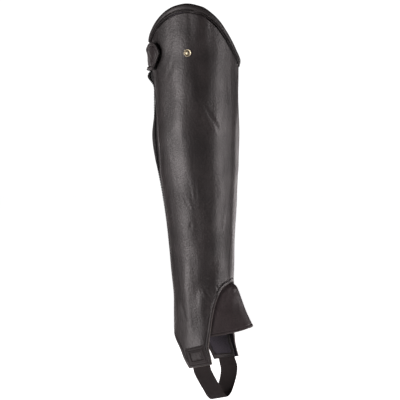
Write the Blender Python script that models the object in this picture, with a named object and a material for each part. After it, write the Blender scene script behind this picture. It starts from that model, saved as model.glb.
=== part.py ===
"""Leather half chap for a right leg, filled out to the form it has when worn.

Sizes are in millimetres and become metres in one place, mesh_object.
+Z runs up the leg, +X towards the toe and -Y to the outer side of the leg. The origin is the
centre of the leg at the calf's fullest section, where the leg holds the chap up.
A turn is an angle round the leg in degrees: 0 at the outer side, 90 at the shin, 180 at the
inner side and 270, or -90, at the back of the calf.
"""

import math

import bmesh
import bpy
from mathutils import Matrix, Vector

# Driving dimensions
MM = 0.001
WALL = 2.0  # leather with its textile backing
SEAM_GAP = 0.3
ELASTIC_WALL = 1.6
TAPE_WALL = 1.0
GUSSET_WALL = 1.8
FLAP_WALL = 2.4
PATCH_WALL = 1.2
STRAP_WIDTH = 25.4
STRAP_WALL = 1.6
ZIP_GAP = 12.0  # from the leather's edge to the elastic's edge
ZIP_UNDERLAP = 5.0
ZIP_CHAIN_WIDTH = 5.0
ZIP_CHAIN_HEIGHT = 2.0
UNDER_LEATHER = -(WALL + SEAM_GAP)  # the outer face of what is sewn behind the leather
TAPE_OUT = UNDER_LEATHER - SEAM_GAP / 2
CHAIN_OUT = TAPE_OUT + 2 * SEAM_GAP + ZIP_CHAIN_HEIGHT
ELASTIC_UNDERLAP = 6.0
GUSSET_UNDERLAP = 7.0
SHIN = 90.0
ARCH_TOP = -188.5  # apex of the arch over the instep
HEEL_HEM = -257.0

# The leg's section at each height: how far it reaches to the shin and to the back, and half its width.
SECTIONS = (
    # z, shin, back, half_width
    (175.0, 58.5, -61.0, 53.0),
    (125.0, 58.1, -60.6, 52.8),
    (100.0, 57.0, -58.5, 52.0),
    (60.0, 56.6, -54.2, 52.3),
    (30.0, 57.3, -54.5, 53.0),
    (0.0, 57.6, -56.8, 53.0),
    (-30.0, 57.4, -53.9, 51.0),
    (-60.0, 56.2, -47.2, 48.0),
    (-90.0, 54.6, -41.2, 44.5),
    (-120.0, 53.0, -37.0, 41.0),
    (-150.0, 52.2, -34.0, 38.0),
    (-180.0, 52.2, -31.2, 36.0),
    (-215.0, 53.2, -28.0, 35.0),
    (-257.0, 61.0, -28.0, 35.3),
    (-300.0, 88.0, -36.0, 38.0),
)

# Height of the leather's top edge round the leg: high over the outer side, low at the inner one.
TOP_EDGE = (
    # turn, z
    (-60.0, 123.0),
    (-45.0, 132.5),
    (-30.0, 143.5),
    (-13.0, 154.3),
    (0.0, 159.4),
    (14.0, 161.6),
    (33.0, 157.6),
    (45.0, 150.2),
    (56.0, 140.8),
    (66.0, 129.8),
    (78.0, 117.0),
    (92.0, 105.0),
    (108.0, 98.0),
    (130.0, 95.0),
    (180.0, 94.0),
    (220.0, 98.0),
    (252.0, 108.0),
)

# The main panel's two back edges, with the zip beside the outer one and elastic between them.
BACK_EDGES = (
    # z, outer_turn, inner_turn
    (130.0, -60.0, 252.0),
    (80.0, -59.5, 252.0),
    (64.5, -56.5, 252.0),
    (43.0, -49.0, 252.0),
    (11.0, -39.0, 252.0),
    (-12.0, -36.0, 252.5),
    (-32.0, -38.5, 253.2),
    (-50.0, -43.0, 254.0),
    (-72.0, -47.0, 255.0),
    (-110.0, -53.0, 257.5),
    (-188.5, -57.0, 261.0),
    (-257.0, -58.0, 262.0),
)

# Below the arch the panel parts into two skirts that narrow to the strap's tabs. Each row runs from
# a back edge to a front edge. Inner turns are measured the other way round, from the inner side.
SKIRT = (
    # back_z, outer_back, inner_back, front_z, outer_front, inner_front
    (-190.0, -57.0, -81.0, -190.0, 79.5, 79.5),
    (-194.0, -57.1, -81.1, -194.0, 65.5, 65.5),
    (-200.0, -57.2, -81.2, -200.0, 57.0, 57.0),
    (-209.0, -57.3, -81.3, -209.0, 49.2, 49.2),
    (-222.0, -57.5, -81.5, -222.0, 42.0, 42.6),
    (-236.0, -57.8, -81.8, -236.0, 35.9, 38.8),
    (-248.0, -58.0, -82.0, -250.0, 29.9, 36.6),
    (-257.0, -58.6, -80.0, -262.0, 24.4, 34.0),
    (-264.0, -48.5, -62.0, -270.0, 20.6, 29.8),
    (-271.0, -38.2, -44.0, -276.5, 20.0, 27.0),
    (-278.0, -30.4, -28.0, -281.5, 19.6, 25.6),
    (-286.5, -24.4, -20.0, -286.0, 19.0, 24.4),
    (-298.8, -15.3, -15.3, -291.0, 18.2, 23.6),
)

# Soft dents pressed into the leather: centre, half sizes along and across, depth and lean from upright.
DENTS = (
    # turn, z, half_length, half_width, depth, lean_deg
    (27.0, -186.0, 26.0, 8.0, 1.6, 28.0),
    (4.0, -236.0, 28.0, 9.0, 1.1, 4.0),
    (-28.0, -212.0, 24.0, 9.0, 1.0, -14.0),
    (43.0, 22.0, 34.0, 9.0, 0.9, 18.0),
    (24.0, 128.0, 30.0, 10.0, 0.8, -8.0),
    (10.0, -66.0, 28.0, 9.0, 0.9, -12.0),
    (153.0, -186.0, 26.0, 8.0, 1.6, -28.0),
    (178.0, -30.0, 38.0, 11.0, 1.0, 10.0),
    (205.0, -215.0, 26.0, 9.0, 1.1, 12.0),
    (120.0, 40.0, 34.0, 10.0, 0.9, -16.0),
)

# The elastic and zip puff out below the snap flap and at the calf.
REAR_PUFFS = (
    # z, half_height, height
    (74.0, 9.0, 8.0),
    (-6.0, 40.0, 3.6),
)

# The snap flap's outline, from its sewn end on the elastic to its round tip over the outer side.
FLAP = (
    # turn, low_z, high_z, lift
    (-104.0, 82.5, 97.0, 0.5),
    (-92.0, 83.5, 101.5, 1.6),
    (-80.0, 84.3, 105.0, 3.2),
    (-70.0, 84.5, 108.0, 5.0),
    (-60.0, 84.2, 111.3, 5.2),
    (-50.0, 82.8, 115.0, 5.2),
    (-41.0, 82.4, 117.2, 5.2),
    (-33.0, 86.2, 117.4, 4.8),
    (-27.5, 91.2, 116.0, 4.7),
    (-23.5, 96.2, 111.8, 4.7),
    (-21.2, 100.4, 107.6, 4.7),
)
SNAP_TURN, SNAP_Z = -34.0, 102.0
SNAP_RADIUS = 5.0

SLIDER_Z, SLIDER_SIZE = 102.5, (8.0, 9.0, 2.6)
PULL_Z, PULL_SIZE, PULL_LIFT = 92.0, (5.0, 11.0, 1.2), 0.95

# The instep gusset is a folded triangle that runs out over the boot. Each rib joins a point of the
# arch's edge to a point of the fold, which stands ahead of the shin by its reach.
GUSSET = (
    # edge_turn, edge_z, fold_z, reach
    (90.0, -189.0, -189.8, -2.2),
    (79.5, -190.5, -191.8, 3.4),
    (65.5, -194.5, -195.5, 7.0),
    (57.0, -200.5, -200.0, 9.0),
    (49.2, -209.5, -206.0, 11.6),
    (42.0, -222.0, -216.0, 15.2),
    (35.9, -236.0, -227.5, 19.4),
    (29.9, -250.0, -238.0, 23.2),
    (27.3, -257.0, -243.0, 25.0),
)

# The elastic strap's centre line under the foot from tab to tab, and how far it lies on the leather.
STRAP_PATH = (
    # x, y, z, sewn
    (20.6, -34.9, -272.0, 1.0),
    (23.3, -34.9, -283.0, 1.0),
    (26.6, -34.9, -297.0, 1.0),
    (29.0, -30.5, -306.0, 0.3),
    (30.0, -23.5, -316.0, 0.0),
    (31.3, -14.0, -327.0, 0.0),
    (32.3, -5.0, -337.0, 0.0),
    (32.9, 4.5, -342.0, 0.0),
    (33.1, 13.5, -339.0, 0.0),
    (33.0, 23.0, -330.0, 0.0),
    (32.4, 32.5, -317.5, 0.0),
    (31.4, 36.6, -306.5, 0.3),
    (29.6, 34.9, -296.0, 1.0),
    (26.4, 34.9, -283.0, 1.0),
    (23.8, 34.9, -272.0, 1.0),
)
STRAP_LEAN = 14.0  # the strap's front edge is higher than its rear one, in degrees

# Corners of the pieces on the two tabs, as turns from each tab's own side and heights.
PATCH_CORNERS = ((-20.6, -274.4), (14.8, -266.2), (-13.3, -296.9), (17.1, -289.5))
FACING_CORNERS = ((-30.0, -262.0), (28.5, -262.0), (-13.0, -297.0), (21.0, -290.3))
FACING_WALL = 1.0

STUD_TURN, STUD_Z = 15.5, 102.0
STUD_RADIUS = 4.9

COLOURS = {
    # name: linear red, green, blue, roughness, metallic
    "leather": (0.028, 0.025, 0.025, 0.45, 0.0),
    "lining": (0.012, 0.011, 0.017, 0.90, 0.0),
    "elastic": (0.015, 0.012, 0.012, 0.85, 0.0),
    "zip": (0.010, 0.010, 0.011, 0.60, 0.0),
    "nickel": (0.35, 0.34, 0.32, 0.35, 1.0),
    "brass": (0.42, 0.34, 0.19, 0.35, 1.0),
}


def curve_value(table, column, x):
    """Reads a table's column at x along its first column, on a smooth curve with no overshoot."""
    rows = sorted(table, key=lambda row: row[0])
    if x <= rows[0][0]:
        return rows[0][column]
    if x >= rows[-1][0]:
        return rows[-1][column]
    slopes = [
        (after[column] - before[column]) / (after[0] - before[0])
        for before, after in zip(rows, rows[1:])
    ]

    def tangent(i):
        if i in (0, len(slopes)):
            return slopes[min(i, len(slopes) - 1)]
        before, after = slopes[i - 1], slopes[i]
        return 0.0 if before * after <= 0 else 2 * before * after / (before + after)

    i = next(k for k in range(len(slopes)) if x <= rows[k + 1][0])
    span = rows[i + 1][0] - rows[i][0]
    t = (x - rows[i][0]) / span
    return (
        rows[i][column] * (1 + 2 * t) * (1 - t) ** 2
        + tangent(i) * span * t * (1 - t) ** 2
        + rows[i + 1][column] * t * t * (3 - 2 * t)
        + tangent(i + 1) * span * t * t * (t - 1)
    )


def blend(low, high, t):
    return low + (high - low) * t


def dent_depth(turn, z):
    """How deep the soft dents press the leather in at a point."""
    total = 0.0
    for centre, height, half_length, half_width, depth, lean in DENTS:
        across = math.radians(turn - centre) * girth_radius(z)
        along = z - height
        tilt = math.radians(lean)
        u = across * math.cos(tilt) - along * math.sin(tilt)
        v = across * math.sin(tilt) + along * math.cos(tilt)
        total += depth * math.exp(-((u / half_width) ** 2) - (v / half_length) ** 2)
    return total


def girth_radius(z):
    """A mean radius of the leg's section, which turns millimetres of girth into degrees."""
    depth = (curve_value(SECTIONS, 1, z) - curve_value(SECTIONS, 2, z)) / 2
    return (depth + curve_value(SECTIONS, 3, z)) / 2


def leg_point(turn, z, out=0.0):
    """The point on the leather's outer face at a turn and height, moved out by so many millimetres."""
    shin = curve_value(SECTIONS, 1, z)
    back = curve_value(SECTIONS, 2, z)
    half_width = curve_value(SECTIONS, 3, z)
    centre, depth = (shin + back) / 2, (shin - back) / 2
    angle = math.radians(turn)
    normal = Vector((math.sin(angle) / depth, -math.cos(angle) / half_width, 0)).normalized()
    on_leg = Vector((centre + depth * math.sin(angle), -half_width * math.cos(angle), z))
    return on_leg + normal * (out - dent_depth(turn, z))


def degrees_of(length, z, turn=0.0):
    """The turn that spans a length along the leather at a height, measured beside the given turn."""
    return length / (leg_point(turn + 0.5, z) - leg_point(turn - 0.5, z)).length


def rear_puff(turn, z):
    """How far the elastic and the zip stand out, rising from the leather's edges to the back."""
    outer = curve_value(BACK_EDGES, 1, z)
    inner = curve_value(BACK_EDGES, 2, z) - 360.0
    share = min(1.0, max(0.0, (outer - turn) / (outer - inner)))
    rise = min(1.0, math.sin(math.pi * share) * 1.6)
    return rise * sum(
        height * math.exp(-(((z - centre) / half) ** 2)) for centre, half, height in REAR_PUFFS
    )


def rear_point(turn, z, out=0.0):
    return leg_point(turn, z, out + rear_puff(turn, z))


def material_named(name):
    material = bpy.data.materials.get(name)
    if material is None:
        material = bpy.data.materials.new(name)
        material.use_nodes = True
        red, green, blue, roughness, metallic = COLOURS[name]
        shader = material.node_tree.nodes["Principled BSDF"]
        shader.inputs["Base Color"].default_value = (red, green, blue, 1.0)
        shader.inputs["Roughness"].default_value = roughness
        shader.inputs["Metallic"].default_value = metallic
    return material


def mesh_object(name, shape, material, wall=None):
    """Makes a bmesh in millimetres a named object in metres, thickened inwards if wall is given."""
    bmesh.ops.remove_doubles(shape, verts=shape.verts, dist=1e-4)
    bmesh.ops.scale(shape, vec=(MM, MM, MM), verts=shape.verts)
    mesh = bpy.data.meshes.new(name)
    shape.to_mesh(mesh)
    shape.free()
    mesh.materials.append(material_named(material))
    mesh.shade_smooth()
    mesh.set_sharp_from_angle(angle=math.radians(40))
    made = bpy.data.objects.new(name, mesh)
    bpy.context.scene.collection.objects.link(made)
    if wall:
        solidify = made.modifiers.new("Wall", "SOLIDIFY")
        solidify.thickness = wall * MM
        solidify.offset = -1.0
        solidify.use_even_offset = True
    return made


def add_grid(shape, rows, closed=False):
    """Adds faces between rows of points. Rows run down and columns to the right, seen from outside."""
    made = [[shape.verts.new(point) for point in row] for row in rows]
    for upper, lower in zip(made, made[1:]):
        columns = len(upper)
        for i in range(columns if closed else columns - 1):
            j = (i + 1) % columns
            shape.faces.new((upper[i], lower[i], lower[j], upper[j]))
    return made


def add_sweep(shape, rings):
    """Adds a closed tube through rings of points, with a flat cap at each end."""
    made = add_grid(shape, rings, closed=True)
    for ring in (made[0], made[-1]):
        shape.faces.new(ring)
    bmesh.ops.recalc_face_normals(shape, faces=shape.faces)


# The main panel

OUTER_COLUMNS, INNER_COLUMNS, TUBE_ROWS = 20, 22, 15


def tube_turn(share, z):
    """The turn of a column at a height: share runs from 0 at the outer back edge to 1 at the shin and 2 at the inner back edge."""
    outer = curve_value(BACK_EDGES, 1, z)
    inner = curve_value(BACK_EDGES, 2, z)
    return blend(outer, SHIN, share) if share <= 1 else blend(SHIN, inner, share - 1)


def column_shares():
    outer = [i / OUTER_COLUMNS for i in range(OUTER_COLUMNS + 1)]
    inner = [1 + i / INNER_COLUMNS for i in range(1, INNER_COLUMNS + 1)]
    return outer + inner


def top_edge_place(share):
    """The turn and height at which a column meets the top edge."""
    turn, z = tube_turn(share, 120.0), 120.0
    for _ in range(6):
        z = curve_value(TOP_EDGE, 1, turn)
        turn = tube_turn(share, z)
    return turn, z


def tube_row(t):
    """A row of the panel above the arch: t is 0 at the top edge and 1 at the arch's apex."""
    places = []
    for share in column_shares():
        top = top_edge_place(share)[1]
        z = blend(top, ARCH_TOP, t)
        places.append((tube_turn(share, z), z))
    return places


def skirt_row(row, inner):
    """A row of one skirt, from its back edge to its front edge, as turns and heights."""
    back_z, outer_back, inner_back, front_z, outer_front, inner_front = row
    columns = INNER_COLUMNS if inner else OUTER_COLUMNS
    back_turn, front_turn = (inner_back, inner_front) if inner else (outer_back, outer_front)
    row_places = [
        (blend(back_turn, front_turn, i / columns), blend(back_z, front_z, i / columns))
        for i in range(columns + 1)
    ]
    if inner:
        return [(180.0 - turn, z) for turn, z in reversed(row_places)]
    return row_places


def build_main_panel():
    shape = bmesh.new()
    tube = [tube_row(i / TUBE_ROWS) for i in range(TUBE_ROWS + 1)]
    add_grid(shape, [[leg_point(*place) for place in row] for row in tube])
    last = tube[-1]
    for inner, first in ((False, last[: OUTER_COLUMNS + 1]), (True, last[OUTER_COLUMNS:])):
        rows = [first] + [skirt_row(row, inner) for row in SKIRT]
        add_grid(shape, [[leg_point(*place) for place in row] for row in rows])
    return mesh_object("main_panel", shape, "leather", WALL)


# The rolled binding over the top edge

BINDING_PROFILE = (
    # below the edge, out from the leather's outer face
    (-2.0, -1.0),
    (-1.5, 0.6),
    (0.2, 1.9),
    (2.6, 2.5),
    (4.9, 2.0),
    (6.3, 0.9),
    (7.3, 1.3),
    (8.3, 0.9),
    (8.5, 0.35),
    (4.2, 0.45),
    (-0.3, 0.35),
    (-0.3, -2.35),
    (3.4, -2.35),
    (6.8, -2.35),
    (6.8, -3.4),
    (-1.1, -3.2),
)


BINDING_HEIGHT = 1.12


def binding_below(below, along):
    """The strip keeps an even height, so it is narrower where the edge is steep."""
    return below * BINDING_HEIGHT * abs(along.x) if below > 0 else below


def build_top_binding():
    """A folded strip whose two sides lie on the leather, square to the edge all the way round."""
    places = tube_row(0.0)
    rings = []
    for i, (turn, z) in enumerate(places):
        before, after = places[max(i - 1, 0)], places[min(i + 1, len(places) - 1)]
        per_degree = 1.0 / degrees_of(1.0, z, turn)
        along = Vector(((after[0] - before[0]) * per_degree, after[1] - before[1])).normalized()
        ring = []
        for below, out in BINDING_PROFILE:
            below = binding_below(below, along)
            ring.append(leg_point(turn + along.y * below / per_degree, z - along.x * below, out))
        rings.append(ring)
    shape = bmesh.new()
    add_sweep(shape, rings)
    return mesh_object("top_binding", shape, "leather")


# The elastic panel and the zip at the back

REAR_TOP_ROWS, REAR_ROWS, TOP_SHARE = 12, 28, 0.15
ELASTIC_SHARES = (-1.0, 0.0, 0.1, 0.25, 0.42, 0.6, 0.78, 0.9, 1.0, 2.0)


def rear_top(turn):
    """The top of the back, which passes below the binding at the leather's two ends."""
    share = (turn + 108.0) / (-58.0 + 108.0)
    return blend(96.0, 113.0, min(1.0, max(0.0, share)))


def rear_hem(turn):
    """The back hem, which lifts a little at the middle of the heel."""
    return HEEL_HEM + 3.0 * math.cos(math.radians(turn + 90.0) * 1.5)


def rear_share(row):
    """How far down the back a row is. Rows lie closer where the back puffs out at the top."""
    if row <= REAR_TOP_ROWS:
        return TOP_SHARE * row / REAR_TOP_ROWS
    return blend(TOP_SHARE, 1.0, (row - REAR_TOP_ROWS) / (REAR_ROWS - REAR_TOP_ROWS))


def rear_rows(stations):
    """Rows of points down the back. A station is a function from height to turn, and an offset."""
    rows = []
    for i in range(REAR_ROWS + 1):
        row = []
        for turn_at, out in stations:
            turn = turn_at(0.0)
            for _ in range(4):
                z = blend(rear_top(turn), rear_hem(turn), rear_share(i))
                turn = turn_at(z)
            row.append(rear_point(turn, z, out))
        rows.append(row)
    return rows


def zip_edge(z, distance):
    """The turn at a distance in millimetres behind the leather's outer edge."""
    return curve_value(BACK_EDGES, 1, z) - degrees_of(distance, z, curve_value(BACK_EDGES, 1, z))


def elastic_turn(z, share):
    """The turn across the elastic: 0 at the leather's edge and 1 where the zip's tape begins."""
    inner = curve_value(BACK_EDGES, 2, z) - 360.0
    if share < 0:
        return inner + share * degrees_of(ELASTIC_UNDERLAP, z, inner)
    if share > 1:
        return zip_edge(z, ZIP_GAP)
    return blend(inner, zip_edge(z, ZIP_GAP + ZIP_UNDERLAP), share)


def build_elastic_panel():
    under_tape = TAPE_OUT - TAPE_WALL - SEAM_GAP
    stations = []
    for share in ELASTIC_SHARES:
        out = blend(UNDER_LEATHER - SEAM_GAP, under_tape, min(1.0, max(0.0, share)))
        stations.append((lambda z, share=share: elastic_turn(z, share), out))
    shape = bmesh.new()
    add_grid(shape, rear_rows(stations))
    return mesh_object("elastic_panel", shape, "elastic", ELASTIC_WALL)


def zip_stations(distances, out):
    return [(lambda z, distance=distance: zip_edge(z, distance), out) for distance in distances]


def build_zip():
    middle = ZIP_GAP / 2
    slit = SEAM_GAP
    outer_tape = (middle - slit, 0.0, -ZIP_UNDERLAP)
    rear_tape = (ZIP_GAP + ZIP_UNDERLAP, ZIP_GAP, middle + slit)
    for name, distances in (("zip_tape_outer", outer_tape), ("zip_tape_rear", rear_tape)):
        shape = bmesh.new()
        add_grid(shape, rear_rows(zip_stations(distances, TAPE_OUT)))
        mesh_object(name, shape, "zip", TAPE_WALL)
    half = ZIP_CHAIN_WIDTH / 2
    chain = zip_stations((middle + half, middle, middle - half), CHAIN_OUT)
    shape = bmesh.new()
    add_grid(shape, rear_rows(chain)[3:])
    mesh_object("zip_chain", shape, "zip", ZIP_CHAIN_HEIGHT)


def block(name, material, turn, z, size, out):
    """A bevelled block that stands on the back of the leg. size is across, up and out."""
    centre = rear_point(turn, z, out + size[2] / 2)
    outward = (rear_point(turn, z, 1.0) - rear_point(turn, z)).normalized()
    up = Vector((0, 0, 1))
    across = up.cross(outward)
    frame = Matrix((across, up, outward)).transposed().to_4x4()
    frame.translation = centre
    shape = bmesh.new()
    bmesh.ops.create_cube(shape, size=1.0, matrix=frame @ Matrix.Diagonal((*size, 1.0)))
    bmesh.ops.bevel(
        shape, geom=list(shape.edges), offset=min(size) * 0.3, segments=2, affect="EDGES"
    )
    return mesh_object(name, shape, material)


def build_zip_slider():
    """The closed slider at the top of the chain, with its pull folded down, both under the flap."""
    slider_turn = zip_edge(SLIDER_Z, ZIP_GAP / 2)
    block("zip_slider", "nickel", slider_turn, SLIDER_Z, SLIDER_SIZE, TAPE_OUT + SEAM_GAP)
    pull_turn = zip_edge(PULL_Z, ZIP_GAP / 2)
    block("zip_pull", "nickel", pull_turn, PULL_Z, PULL_SIZE, CHAIN_OUT + PULL_LIFT)


# The snap flap over the top of the zip

FLAP_ROWS = 6


def flap_turns():
    """The turns of the outline's rows and one halfway between each two."""
    rows = [row[0] for row in FLAP]
    between = [(a + b) / 2 for a, b in zip(rows, rows[1:])]
    return sorted(rows + between)


def build_snap_flap():
    rows = []
    for i in range(FLAP_ROWS + 1):
        t = i / FLAP_ROWS
        row = []
        for turn in flap_turns():
            low = curve_value(FLAP, 1, turn)
            high = curve_value(FLAP, 2, turn)
            row.append(rear_point(turn, blend(high, low, t), curve_value(FLAP, 3, turn)))
        rows.append(row)
    shape = bmesh.new()
    add_grid(shape, rows)
    return mesh_object("snap_flap", shape, "leather", FLAP_WALL)


def round_post(name, material, turn, z, profile, sides=24):
    """A turned piece that stands on the leather. The profile's rows are radius and height."""
    base = leg_point(turn, z)
    outward = (leg_point(turn, z, 1.0) - base).normalized()
    frame = outward.to_track_quat("Z", "Y").to_matrix().to_4x4()
    frame.translation = base
    shape = bmesh.new()
    rings = []
    for radius, height in profile:
        ring = []
        for i in range(sides):
            angle = 2 * math.pi * i / sides
            ring.append(frame @ Vector((radius * math.cos(angle), radius * math.sin(angle), height)))
        rings.append(ring)
    add_sweep(shape, rings)
    return mesh_object(name, shape, material)


def build_snap_stud():
    """The snap's socket and stud, closed between the leather and the flap."""
    lift = curve_value(FLAP, 3, SNAP_TURN) - FLAP_WALL
    profile = (
        (SNAP_RADIUS, SEAM_GAP),
        (SNAP_RADIUS, 1.0),
        (SNAP_RADIUS * 0.8, 1.2),
        (SNAP_RADIUS * 0.8, lift - 0.5),
    )
    return round_post("snap_stud", "nickel", SNAP_TURN, SNAP_Z, profile)


def build_brass_stud():
    """A plain riveted stud with a raised rim and a shallow dome."""
    profile = (
        (STUD_RADIUS * 0.93, SEAM_GAP),
        (STUD_RADIUS, 0.7),
        (STUD_RADIUS * 0.96, 1.5),
        (STUD_RADIUS * 0.85, 1.7),
        (STUD_RADIUS * 0.74, 1.2),
        (STUD_RADIUS * 0.45, 1.35),
        (STUD_RADIUS * 0.15, 1.5),
    )
    return round_post("brass_stud", "brass", STUD_TURN, STUD_Z, profile)


# The instep gusset

GUSSET_COLUMNS = 6
FOLD_SHARPNESS = 1.45
PAST_EDGE = 0.5  # where the gusset comes out from under the leather


def rib_points(index):
    """The points of one rib on the outer side, from its hidden end to the fold."""
    turn, edge_z, fold_z, reach = GUSSET[index]
    per_degree = 1.0 / degrees_of(1.0, edge_z, turn)
    before, after = GUSSET[max(index - 1, 0)], GUSSET[min(index + 1, len(GUSSET) - 1)]
    slope = Vector(((after[0] - before[0]) * per_degree, after[1] - before[1])).normalized()
    if index == 0:
        slope = Vector((-1.0, 0.0))
    points = []
    for under in (GUSSET_UNDERLAP, GUSSET_UNDERLAP / 2, -PAST_EDGE):
        place = (turn + slope.y * under / per_degree, edge_z - slope.x * under)
        points.append(leg_point(*place, UNDER_LEATHER - SEAM_GAP))
    edge = points[-1]
    fold = leg_point(SHIN, fold_z) + Vector((reach, 0, 0))
    for i in range(1, GUSSET_COLUMNS + 1):
        share = i / GUSSET_COLUMNS
        ahead = 1 - (1 - share) ** FOLD_SHARPNESS
        x = blend(edge.x, fold.x, ahead)
        points.append(Vector((x, edge.y * (1 - share), blend(edge.z, fold.z, share))))
    return points


def build_instep_gusset():
    """Ribs from the inner side's hem over the apex to the outer side's hem."""
    outer = [rib_points(i) for i in range(len(GUSSET))]
    inner = [[Vector((p.x, -p.y, p.z)) for p in rib] for rib in outer[:0:-1]]
    shape = bmesh.new()
    add_grid(shape, inner + outer)
    return mesh_object("instep_gusset", shape, "leather", GUSSET_WALL)


# The strap under the foot, and what is sewn to the tabs

STRAP_STEPS = 34
STRAP_ACROSS = (-1.0, -0.5, 0.0, 0.5, 1.0)


def smooth_path(points, steps):
    """A smooth curve through rows of values, read at even steps."""
    rows = [(i, *point) for i, point in enumerate(points)]
    last = len(points) - 1
    columns = range(1, len(points[0]) + 1)
    return [[curve_value(rows, column, last * k / steps) for column in columns] for k in range(steps + 1)]


def turn_at(x, z):
    """The turn at which the leather's outer side passes through x."""
    shin, back = curve_value(SECTIONS, 1, z), curve_value(SECTIONS, 2, z)
    return math.degrees(math.asin((2 * x - shin - back) / (shin - back)))


def on_tab(place, inner, out):
    """The point on the inside of a tab that has a place's x and z."""
    point = leg_point(turn_at(place.x, place.z), place.z, out)
    return Vector((point.x, -point.y if inner else point.y, place.z))


def build_foot_strap():
    path = smooth_path(STRAP_PATH, STRAP_STEPS)
    centres = [Vector(row[:3]) for row in path]
    lean = math.radians(STRAP_LEAN)
    width = Vector((math.cos(lean), 0, math.sin(lean))) * STRAP_WIDTH / 2
    rings = []
    for i, (point, row) in enumerate(zip(centres, path)):
        along = (centres[min(i + 1, STRAP_STEPS)] - centres[max(i - 1, 0)]).normalized()
        outward = along.cross(width).normalized()
        sewn, inner = row[3], i > STRAP_STEPS / 2
        ring = []
        for face in (-1, 1):
            for across in STRAP_ACROSS if face < 0 else reversed(STRAP_ACROSS):
                place = point + width * across
                depth = UNDER_LEATHER - (STRAP_WALL if face < 0 else 0.0)
                free = place + outward * (face * STRAP_WALL / 2)
                ring.append(free.lerp(on_tab(place, inner, depth), sewn))
        rings.append(ring)
    shape = bmesh.new()
    add_sweep(shape, rings)
    return mesh_object("foot_strap", shape, "elastic")


PATCH_COLUMNS, PATCH_ROWS = 6, 4


def tab_piece(name, corners, material, wall, out, inner):
    """A four-sided piece laid on a tab. Corners are turns and heights, upper back to lower front."""
    upper_back, upper_front, lower_back, lower_front = (Vector(corner) for corner in corners)
    rows = []
    for i in range(PATCH_ROWS + 1):
        back = upper_back.lerp(lower_back, i / PATCH_ROWS)
        front = upper_front.lerp(lower_front, i / PATCH_ROWS)
        row = []
        for j in range(PATCH_COLUMNS + 1):
            turn, z = back.lerp(front, j / PATCH_COLUMNS)
            row.append(leg_point(180.0 - turn if inner else turn, z, out))
        rows.append(row[::-1] if inner else row)
    shape = bmesh.new()
    add_grid(shape, rows)
    return mesh_object(name, shape, material, wall)


def build_tab_patch():
    """The square patch on the outer tab, with its lower edge along the tab's."""
    return tab_piece(
        "tab_patch", PATCH_CORNERS, "leather", PATCH_WALL, SEAM_GAP + PATCH_WALL, inner=False
    )


def build_tab_facing():
    """The textile facing inside the inner tab, which covers the strap's sewn end."""
    return tab_piece(
        "tab_facing",
        FACING_CORNERS,
        "lining",
        FACING_WALL,
        UNDER_LEATHER - STRAP_WALL - 2 * SEAM_GAP,
        inner=True,
    )


def main():
    for item in list(bpy.data.objects):
        bpy.data.objects.remove(item)
    build_main_panel()
    build_top_binding()
    build_elastic_panel()
    build_zip()
    build_zip_slider()
    build_snap_flap()
    build_snap_stud()
    build_brass_stud()
    build_instep_gusset()
    build_foot_strap()
    build_tab_patch()
    build_tab_facing()


main()
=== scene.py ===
"""Dresses a worn leather half chap: leather, elastic, zip, sewing and studio.

Sizes are in millimetres and become metres in one place, new_piece. +Z runs up the leg, +X towards
the toe and -Y to the outer side of the leg. A turn is an angle round the leg in degrees: 0 at the
outer side, 90 at the shin, 180 at the inner side and 270, or -90, at the back of the calf.
"""

import math
from bisect import bisect_left
from collections import namedtuple
from functools import cache

import bmesh
import bpy
from bpy.props import FloatProperty, FloatVectorProperty, PointerProperty
from mathutils import Matrix, Vector, kdtree, noise


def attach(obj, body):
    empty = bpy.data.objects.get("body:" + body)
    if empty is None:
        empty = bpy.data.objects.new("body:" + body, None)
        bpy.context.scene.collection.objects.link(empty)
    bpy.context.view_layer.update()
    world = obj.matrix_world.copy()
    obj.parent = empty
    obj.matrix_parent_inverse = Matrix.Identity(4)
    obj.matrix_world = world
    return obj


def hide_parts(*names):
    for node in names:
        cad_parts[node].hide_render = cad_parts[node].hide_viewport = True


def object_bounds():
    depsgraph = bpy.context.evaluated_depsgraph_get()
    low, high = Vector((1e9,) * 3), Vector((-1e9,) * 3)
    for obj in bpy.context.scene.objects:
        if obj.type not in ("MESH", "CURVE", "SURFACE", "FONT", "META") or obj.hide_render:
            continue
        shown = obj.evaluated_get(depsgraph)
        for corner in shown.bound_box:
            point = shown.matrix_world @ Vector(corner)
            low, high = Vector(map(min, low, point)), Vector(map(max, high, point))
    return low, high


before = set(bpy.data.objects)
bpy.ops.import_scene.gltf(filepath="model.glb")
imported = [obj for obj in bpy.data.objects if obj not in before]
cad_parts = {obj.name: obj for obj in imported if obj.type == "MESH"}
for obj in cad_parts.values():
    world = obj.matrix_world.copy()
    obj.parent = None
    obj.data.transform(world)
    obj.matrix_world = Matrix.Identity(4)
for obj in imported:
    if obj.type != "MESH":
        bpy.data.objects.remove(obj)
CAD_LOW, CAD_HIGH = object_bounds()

bl_info = {
    "name": "Leather Half Chap",
    "version": (1, 0, 0),
    "blender": (4, 5, 0),
    "location": "3D View > Sidebar > Half Chap",
    "description": "Builds the leather, elastic, zip and sewing of a worn half chap",
    "category": "Object",
}

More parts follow.
